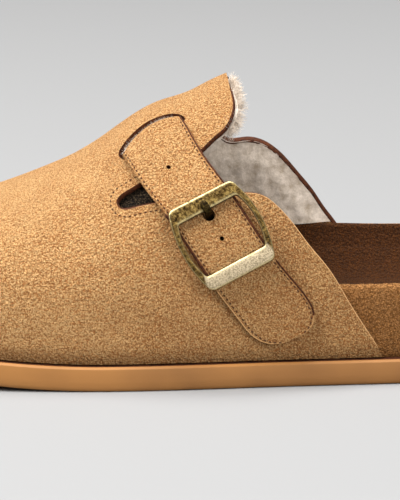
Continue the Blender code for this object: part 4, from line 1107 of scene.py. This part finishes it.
def buildPile():
    stop = float(turnOf(upper["lastStation"]))
    turns = np.linspace(-stop, stop, 2 * pile["turns"] + 1)
    rises = np.linspace(0, 0.98, 120)
    floor = []
    for turn, rim in zip(turns, rimHeight(turns)):
        floor.append(np.interp(rim + pile["rimGap"], lastPoint(turn, rises)[:, 2], rises))
    floor = np.array(floor)[:, None]
    rise = floor + (1 - floor) * np.linspace(0, 1, pile["rises"])[None, :]
    skin = lastPoint(turns[:, None], rise)
    # The strap's inner end gets its room under the hide
    tailAlong = np.linspace(-slot["back"] - strap["tail"], -slot["back"] + pile["tailAhead"], pile["tailSteps"])
    tailAcross = np.linspace(*pile["tailAcross"], pile["tailSteps"])
    tail = strapPoint(*np.meshgrid(tailAlong, tailAcross), 0.0).reshape(-1, 3)
    near = np.linalg.norm(skin[..., None, :] - tail, axis=-1).min(-1)
    room = pile["tailRoom"] * softStep(1 - (near - pile["tailNear"]) / pile["tailFade"])
    top = last["wall"] + pile["gap"] + room
    thick = pile["depth"] + pile["lump"] * lumps(skin, pile["lumpSize"], pile["seed"])
    # The pile thins out to the far quarter's edge, as shorn wool does
    edgeX, edgeZ = edgeLine(innerEdgeRows, upper["edgeSteps"])
    below = edgeZ < last["soleThickness"] + pile["thinBelow"] * last["instepHeight"]
    gaps = np.hypot(skin[..., 0, None] - edgeX[below], skin[..., 2, None] - edgeZ[below]).min(-1)
    thin = np.where(skin[..., 1] > 0, 1 - softStep(gaps / pile["thinOver"]), 0)
    thick = thick * (1 - pile["thinBy"] * thin)
    for values in (room, thick, top):
        values[:, -1] = (values[:, -1] + values[::-1, -1]) / 2
    made = shellPiece("woolPile", upperGrid(top, rise), upperGrid(top + thick, rise), woolFleece)
    nearSpread = pileSpread(outerEdgeRows, pile["proudQuarter"])
    farSpread = pileSpread(innerEdgeRows, pile["proudFar"])
    cutAway(made, [edgeTool("outerPileEdge", outerEdgeRows, -1, woolFleece, nearSpread),
                   edgeTool("innerPileEdge", innerEdgeRows, 1, woolFleece, farSpread), slotTool(woolFleece)])
    # Fibres grow from the cut edge round the throat, where the pile doesn't face outwards
    mesh = made.data
    fringe = mesh.attributes.new("fringe", "FLOAT", "POINT")
    for vert in mesh.vertices:
        away = vert.co.x - (fibres["fringeFrom"] - 0.5) * last["length"]
        level = (vert.co.z - last["soleThickness"]) / last["instepHeight"]
        outward = Vector((0, vert.co.y, vert.co.z - fibres["middleZ"])).normalized().dot(vert.normal)
        grows = 0.0 < away < fibres["fringeOver"] and level > fibres["fringeAbove"]
        fringe.data[vert.index].value = float(grows and outward < fibres["fringeTurn"])
    growFibres(made, fibres["fringeDensity"], fibres["length"])
    finishPiece(made, [], 60)


def faceAt(x, z, side, step=1e-4, most=0.05):
    # Turn and rise of the last's face at a station and height, by a few Newton steps
    turn, rise = side * turnOf(x / last["length"] + 0.5), np.full(len(x), 0.6)
    for _ in range(16):
        here = lastPoint(turn, rise)
        stepTurn = (lastPoint(turn + step, rise) - here) / step
        stepRise = (lastPoint(turn, rise + step) - here) / step
        missX, missZ = x - here[:, 0], z - here[:, 2]
        area = stepTurn[:, 0] * stepRise[:, 2] - stepRise[:, 0] * stepTurn[:, 2]
        area = np.where(np.abs(area) < 1e-7, 1e-7, area)
        turn = turn + np.clip((missX * stepRise[:, 2] - stepRise[:, 0] * missZ) / area, -most, most)
        upward = np.clip((stepTurn[:, 0] * missZ - missX * stepTurn[:, 2]) / area, -most, most)
        rise = np.clip(rise + upward, 0, 0.997)
    return turn, rise


def faceLine(x, z, side, depth=0.0):
    turn, rise = faceAt(x, z, side)
    normal = surfaceNormal(turn, rise)
    points = lastPoint(turn, rise)
    return points + normal * (creaseDepth(points) - depth)[:, None], normal


def crestTop(x):
    return last["soleThickness"] + crestHeight(x / last["length"] + 0.5) * last["instepHeight"] + liftOf(x)


def tubePiece(name, points, normal, halfDeep, halfWide, material, sides=10):
    # Oval tube along a line on the hide, thinned at its ends
    forward = np.gradient(points, axis=0)
    forward /= np.linalg.norm(forward, axis=1, keepdims=True)
    across = np.cross(forward, normal)
    across /= np.linalg.norm(across, axis=1, keepdims=True)
    angle = 2 * math.pi * np.arange(sides) / sides
    fade = endFade(len(points), 3, 0.15)[:, None]
    rings = [points + normal * (halfDeep * fade * math.cos(a)) + across * (halfWide * fade * math.sin(a))
             for a in angle]
    made = newMesh(name, np.stack(rings, 1).reshape(-1, 3), tubeFaces(len(points), sides), [material])
    tidyNormals(made)
    finishPiece(made, [], 60)


# Cut edges: a bead over the wall's thickness, and lines along the strap's upper arrises, some of them dark lines
# of painted shadow
edges = {"flapWidth": 0.00050, "farDepth": 0.0015, "farWidth": 0.00080, "rawWidth": 0.00028, "proud": 0.00003,
         "crestGap": 0.0004, "soleGap": 0.0012, "strapShadow": 0.00030, "windowShade": 0.00045,
         "freeShadow": 0.00032, "rawHeel": 0.00016, "rawToe": 0.00017, "shadowStop": 0.0040, "rawStart": 0.0060,
         "tipGap": 1e-7, "sunk": 0.0002, "steps": 160, "sides": 8}


def visibleRun(x, z):
    # Points of an edge line that lie on the hide, between the sole and the crest
    return np.flatnonzero((z < crestTop(x) - edges["crestGap"]) & (z > soleTop(x) + edges["soleGap"]))


def edgeBead(name, rows, side, first, stop, halfWide, material, halfDeep=last["wall"] / 2):
    # Follows a cut edge between two shares of its length, over the thickness of the wall
    x, z = edgeLine(rows, upper["edgeSteps"])
    run = visibleRun(x, z)
    run = run[int(first * len(run)):int(stop * len(run))]
    points, normal = faceLine(x[run], z[run], side, halfDeep)
    tubePiece(name, points, normal, halfDeep + edges["proud"], halfWide, material)


def strapEdgeLine(name, sign, first, stop, radius, material):
    steps, sides = edges["steps"], edges["sides"]
    along = first + (stop - first) * np.sin(np.linspace(0, math.pi / 2, steps))
    middle, half = strapSides(along)
    across = middle + sign * half
    forward = np.gradient(np.stack([along, across], -1), axis=0)
    forward /= np.linalg.norm(forward, axis=1, keepdims=True)
    fade = endFade(steps, 4, 0.15)
    base = strapLift(along, across) + strap["thickness"] - edges["sunk"]
    rings = []
    for k in range(sides):
        angle = 2 * math.pi * k / sides
        shift = radius * fade * math.cos(angle)
        rings.append(strapPoint(along - forward[:, 1] * shift, across + forward[:, 0] * shift,
                                base + radius * fade * math.sin(angle)))
    made = newMesh(name, np.stack(rings, 1).reshape(-1, 3), tubeFaces(steps, sides), [material])
    tidyNormals(made)
    finishPiece(made, [], 60)


def buildEdges():
    window = buckle["length"] / 2
    inside, tip = window - buckle["bar"], strap["tip"]
    # The dark lines on the strap's heel side and at both sides of the buckle's window are painted shadow, in the
    # edge finish
    for row in (
        ("strapShadowHeel", 1, -slot["back"] + slot["width"], -window, edges["strapShadow"], edgeStain),
        ("windowShadeHeel", 1, -window, inside, edges["windowShade"], edgeStain),
        ("windowShadeToe", -1, -window, inside, edges["windowShade"], edgeStain),
        ("freeShadowHeel", 1, window, tip - edges["shadowStop"], edges["freeShadow"], edgeStain),
        # Pale raw edges, partly a painted highlight
        ("strapRawHeel", 1, tip - edges["rawStart"], tip - edges["tipGap"], edges["rawHeel"], rawEdgeHighlight),
        ("strapRawToe", -1, window, tip - edges["tipGap"], edges["rawToe"], rawEdgeHighlight),
    ):
        strapEdgeLine(*row)
    x, z = edgeLine(outerEdgeRows, upper["edgeSteps"])
    within = visibleRun(x, z)
    turnBack = (x[within].argmin() + 6) / len(within)
    edgeBead("flapEdgeStain", outerEdgeRows, -1, 0.0, turnBack, edges["flapWidth"], edgeStain)
    edgeBead("quarterRawEdge", outerEdgeRows, -1, turnBack, 1.0, edges["rawWidth"], rawEdgeHighlight)
    edgeBead("farEdgeStain", innerEdgeRows, 1, 0.0, 1.0, edges["farWidth"], edgeStain, edges["farDepth"])


# Dark sheet close behind the keyhole as painted shade in its opening, and the wool that swells out along the slot
keyholeShade = {"stations": (0.366, 0.452), "heights": (0.575, 0.742), "depth": 0.00215, "thickness": 0.0003,
           "columns": 14, "rows": 12}
swell = {"across": (-0.0098, 0.0112), "forward": 0.0020, "lift": -0.0011, "radius": 0.00070, "lump": 0.00035,
         "lumpSize": 0.0022, "seed": 3, "steps": 90, "sides": 14}


# A thin dark sheet under the hide behind the keyhole, standing in for the shade inside it
def buildKeyholeShade():
    wide, high = keyholeShade["columns"], keyholeShade["rows"]
    x = (np.linspace(*keyholeShade["stations"], wide) - 0.5) * last["length"]
    z = last["soleThickness"] + np.linspace(*keyholeShade["heights"], high) * last["instepHeight"]
    flatX, flatZ = (grid.ravel() for grid in np.meshgrid(x, z))
    points = np.concatenate([faceLine(flatX, flatZ, -1, depth)[0]
                             for depth in (keyholeShade["depth"], keyholeShade["depth"] + keyholeShade["thickness"])])
    total = wide * high
    faces = [tuple(total + k for k in f) for f in gridFaces(high, wide, False)]
    faces += [tuple(reversed(f)) for f in gridFaces(high, wide, False)]
    ring = [*range(wide - 1), *range(wide - 1, total - 1, wide), *range(total - 1, total - wide, -1),
            *range(total - wide, 0, -wide)]
    faces += [(a, b, b + total, a + total) for a, b in zip(ring, ring[1:] + ring[:1])]
    made = newMesh("keyholeShadeSheet", points, faces, [keyholeShadeFinish])
    tidyNormals(made)
    finishPiece(made, [], 60)


def buildSwell():
    steps, sides = swell["steps"], swell["sides"]
    across = np.linspace(*swell["across"], steps)
    centre = -slot["back"] + slotBow(across) + swell["forward"]
    middle = strapPoint(centre, across, swell["lift"])
    lump = swell["lump"] * lumps(middle, swell["lumpSize"], swell["seed"])
    ends = endFade(steps, 6, 0.1)
    rings = []
    for k in range(sides):
        angle = 2 * math.pi * k / sides
        radius = (swell["radius"] + lump * math.sin(angle * 2 + 1)) * ends
        rings.append(strapPoint(centre + radius * math.cos(angle), across,
                                swell["lift"] + radius * math.sin(angle)))
    made = newMesh("slotWool", np.stack(rings, 1).reshape(-1, 3), tubeFaces(steps, sides), [woolFleece])
    made.data.attributes.new("fringe", "FLOAT", "POINT").data.foreach_set("value", np.ones(steps * sides))
    tidyNormals(made)
    growFibres(made, fibres["slotDensity"], fibres["slotLength"])
    finishPiece(made, [], 60)


# Stitches: short waxed threads sunk in the nap round the keyhole and inside the strap's edge
stitch = {"pitch": 0.0016, "length": 0.0009, "radius": 0.00026, "inset": 0.0009, "keyholeInset": 0.0019,
          "keyholeSteps": (-26, 30), "proud": 0.00002, "slotGap": 0.0035, "tipGap": 0.0006,
          "straightSteps": 120, "roundSteps": 40, "roundFrom": 0.05}


def stitchTree():
    # Lays one small thread at each step of a line
    tree, given = treeSockets("stitch row", [(name, "NodeSocketFloat") for name in ("pitch", "length", "radius")])
    line = addNode(tree, "GeometryNodeMeshToCurve", {"Mesh": given["Geometry"]}).outputs["Curve"]
    row = addNode(tree, "GeometryNodeResampleCurve", {"Curve": line, "Length": given["pitch"]}, mode="LENGTH")
    tangent = addNode(tree, "GeometryNodeInputTangent").outputs["Tangent"]
    facing = addNode(tree, "FunctionNodeAlignRotationToVector", {"Vector": tangent},
                     axis="X").outputs["Rotation"]
    size = addNode(tree, "ShaderNodeCombineXYZ", {"X": given["length"], "Y": given["radius"],
                                                  "Z": given["radius"]})
    thread = addNode(tree, "GeometryNodeMeshUVSphere", {"Segments": 8, "Rings": 6,
                                                        "Radius": 1.0}).outputs["Mesh"]
    half = addNode(tree, "ShaderNodeVectorMath", {0: size.outputs["Vector"], 1: (0.5, 1.0, 1.0)},
                   operation="MULTIPLY")
    laid = addNode(tree, "GeometryNodeInstanceOnPoints", {"Points": row.outputs["Curve"], "Instance": thread,
                                                          "Rotation": facing, "Scale": half.outputs["Vector"]})
    real = addNode(tree, "GeometryNodeRealizeInstances", {"Geometry": laid.outputs["Instances"]})
    painted = addNode(tree, "GeometryNodeSetMaterial", {"Geometry": real.outputs["Geometry"],
                                                        "Material": threadTan})
    addNode(tree, "NodeGroupOutput", {"Geometry": painted.outputs["Geometry"]})
    return tree


def stitchRow(name, points):
    made = newMesh(name, points, [], [threadTan])
    made.data.edges.add(len(points) - 1)
    made.data.edges.foreach_set("vertices", [k for i in range(len(points) - 1) for k in (i, i + 1)])
    runTree(made, stitchTree(), stitch)
    finishPiece(made, [], 60)


def buildStitches():
    x, z = edgeLine(outerEdgeRows, upper["edgeSteps"], -stitch["keyholeInset"])
    before, after = stitch["keyholeSteps"]
    run = np.arange(x.argmin() + before, x.argmin() + after)
    stitchRow("keyholeStitches", faceLine(x[run], z[run], -1, stitch["proud"])[0])
    start, end = -slot["back"] + slot["width"] + stitch["slotGap"], strap["tip"] - stitch["tipGap"]
    turned = np.sin(np.linspace(stitch["roundFrom"], math.pi / 2, stitch["roundSteps"]))
    along = np.concatenate([np.linspace(start, strap["tip"] - strap["tipRound"], stitch["straightSteps"]),
                            end - strap["tipRound"] * (1 - turned)])
    middle, half = strapSides(along)
    side = np.maximum(half - stitch["inset"], 0)
    for name, sign in (("strapStitchesToe", -1), ("strapStitchesHeel", 1)):
        across = middle + sign * side
        lift = strapLift(along, across) + strap["thickness"] + stitch["proud"]
        stitchRow(name, strapPoint(along, across, lift))


buildPile()
buildEdges()
buildKeyholeShade()
buildSwell()
buildStitches()
print("wool lining, edges and stitches ready")


# Studio: one pale sheet swept up behind the shoe, a broad soft key from the upper left
studio = {"colour": "#848484", "roughness": 0.9, "world": "#e4e1dd", "worldStrength": 0.44, "front": -4.5,
          "back": 3.6, "curve": 0.8, "curveSteps": 16, "top": 4.0, "halfWidth": 5.0}
lampRows = (  # name, place, aim, watts, size
    ("key", (-1.00, -0.34, 1.5), (0, 0, 0.04), 64.0, 1.0),
    ("fill", (0.55, -1.15, 0.75), (0, 0, 0.06), 13.0, 0.8),
    ("overhead", (0.1, 0.5, 2.4), (0, 0.6, 0), 70.0, 1.2),
)


def buildStudio():
    made, _, shader = newMaterial("matt paper sweep")
    shader.inputs["Base Color"].default_value = hexColour(studio["colour"])
    shader.inputs["Roughness"].default_value = studio["roughness"]
    far, curve = studio["back"], studio["curve"]
    profile = [(studio["front"], 0.0), (far, 0.0)]
    for k in range(1, studio["curveSteps"] + 1):
        angle = k / studio["curveSteps"] * math.pi / 2
        profile.append((far + curve * math.sin(angle), curve - curve * math.cos(angle)))
    profile.append((far + curve, studio["top"]))
    points = [(x, y, z) for y, z in profile for x in (-studio["halfWidth"], studio["halfWidth"])]
    faces = [(2 * i, 2 * i + 1, 2 * i + 3, 2 * i + 2) for i in range(len(profile) - 1)]
    sweep = newMesh("sweep", points, faces, [made])
    sweep.data.shade_smooth()
    world = bpy.data.worlds.new("studio")
    world.use_nodes = True
    world.node_tree.nodes["Background"].inputs["Color"].default_value = hexColour(studio["world"])
    world.node_tree.nodes["Background"].inputs["Strength"].default_value = studio["worldStrength"]
    bpy.context.scene.world = world
    for name, place, aim, energy, size in lampRows:
        lamp = bpy.data.lights.new(name, "AREA")
        lamp.energy, lamp.size = energy, size
        lampObject = bpy.data.objects.new(name, lamp)
        lampObject.location = place
        lampObject.rotation_euler = (Vector(place) - Vector(aim)).to_track_quat("Z", "Y").to_euler()
        bpy.context.collection.objects.link(lampObject)


buildStudio()
bpy.context.scene.view_settings.view_transform = "Standard"
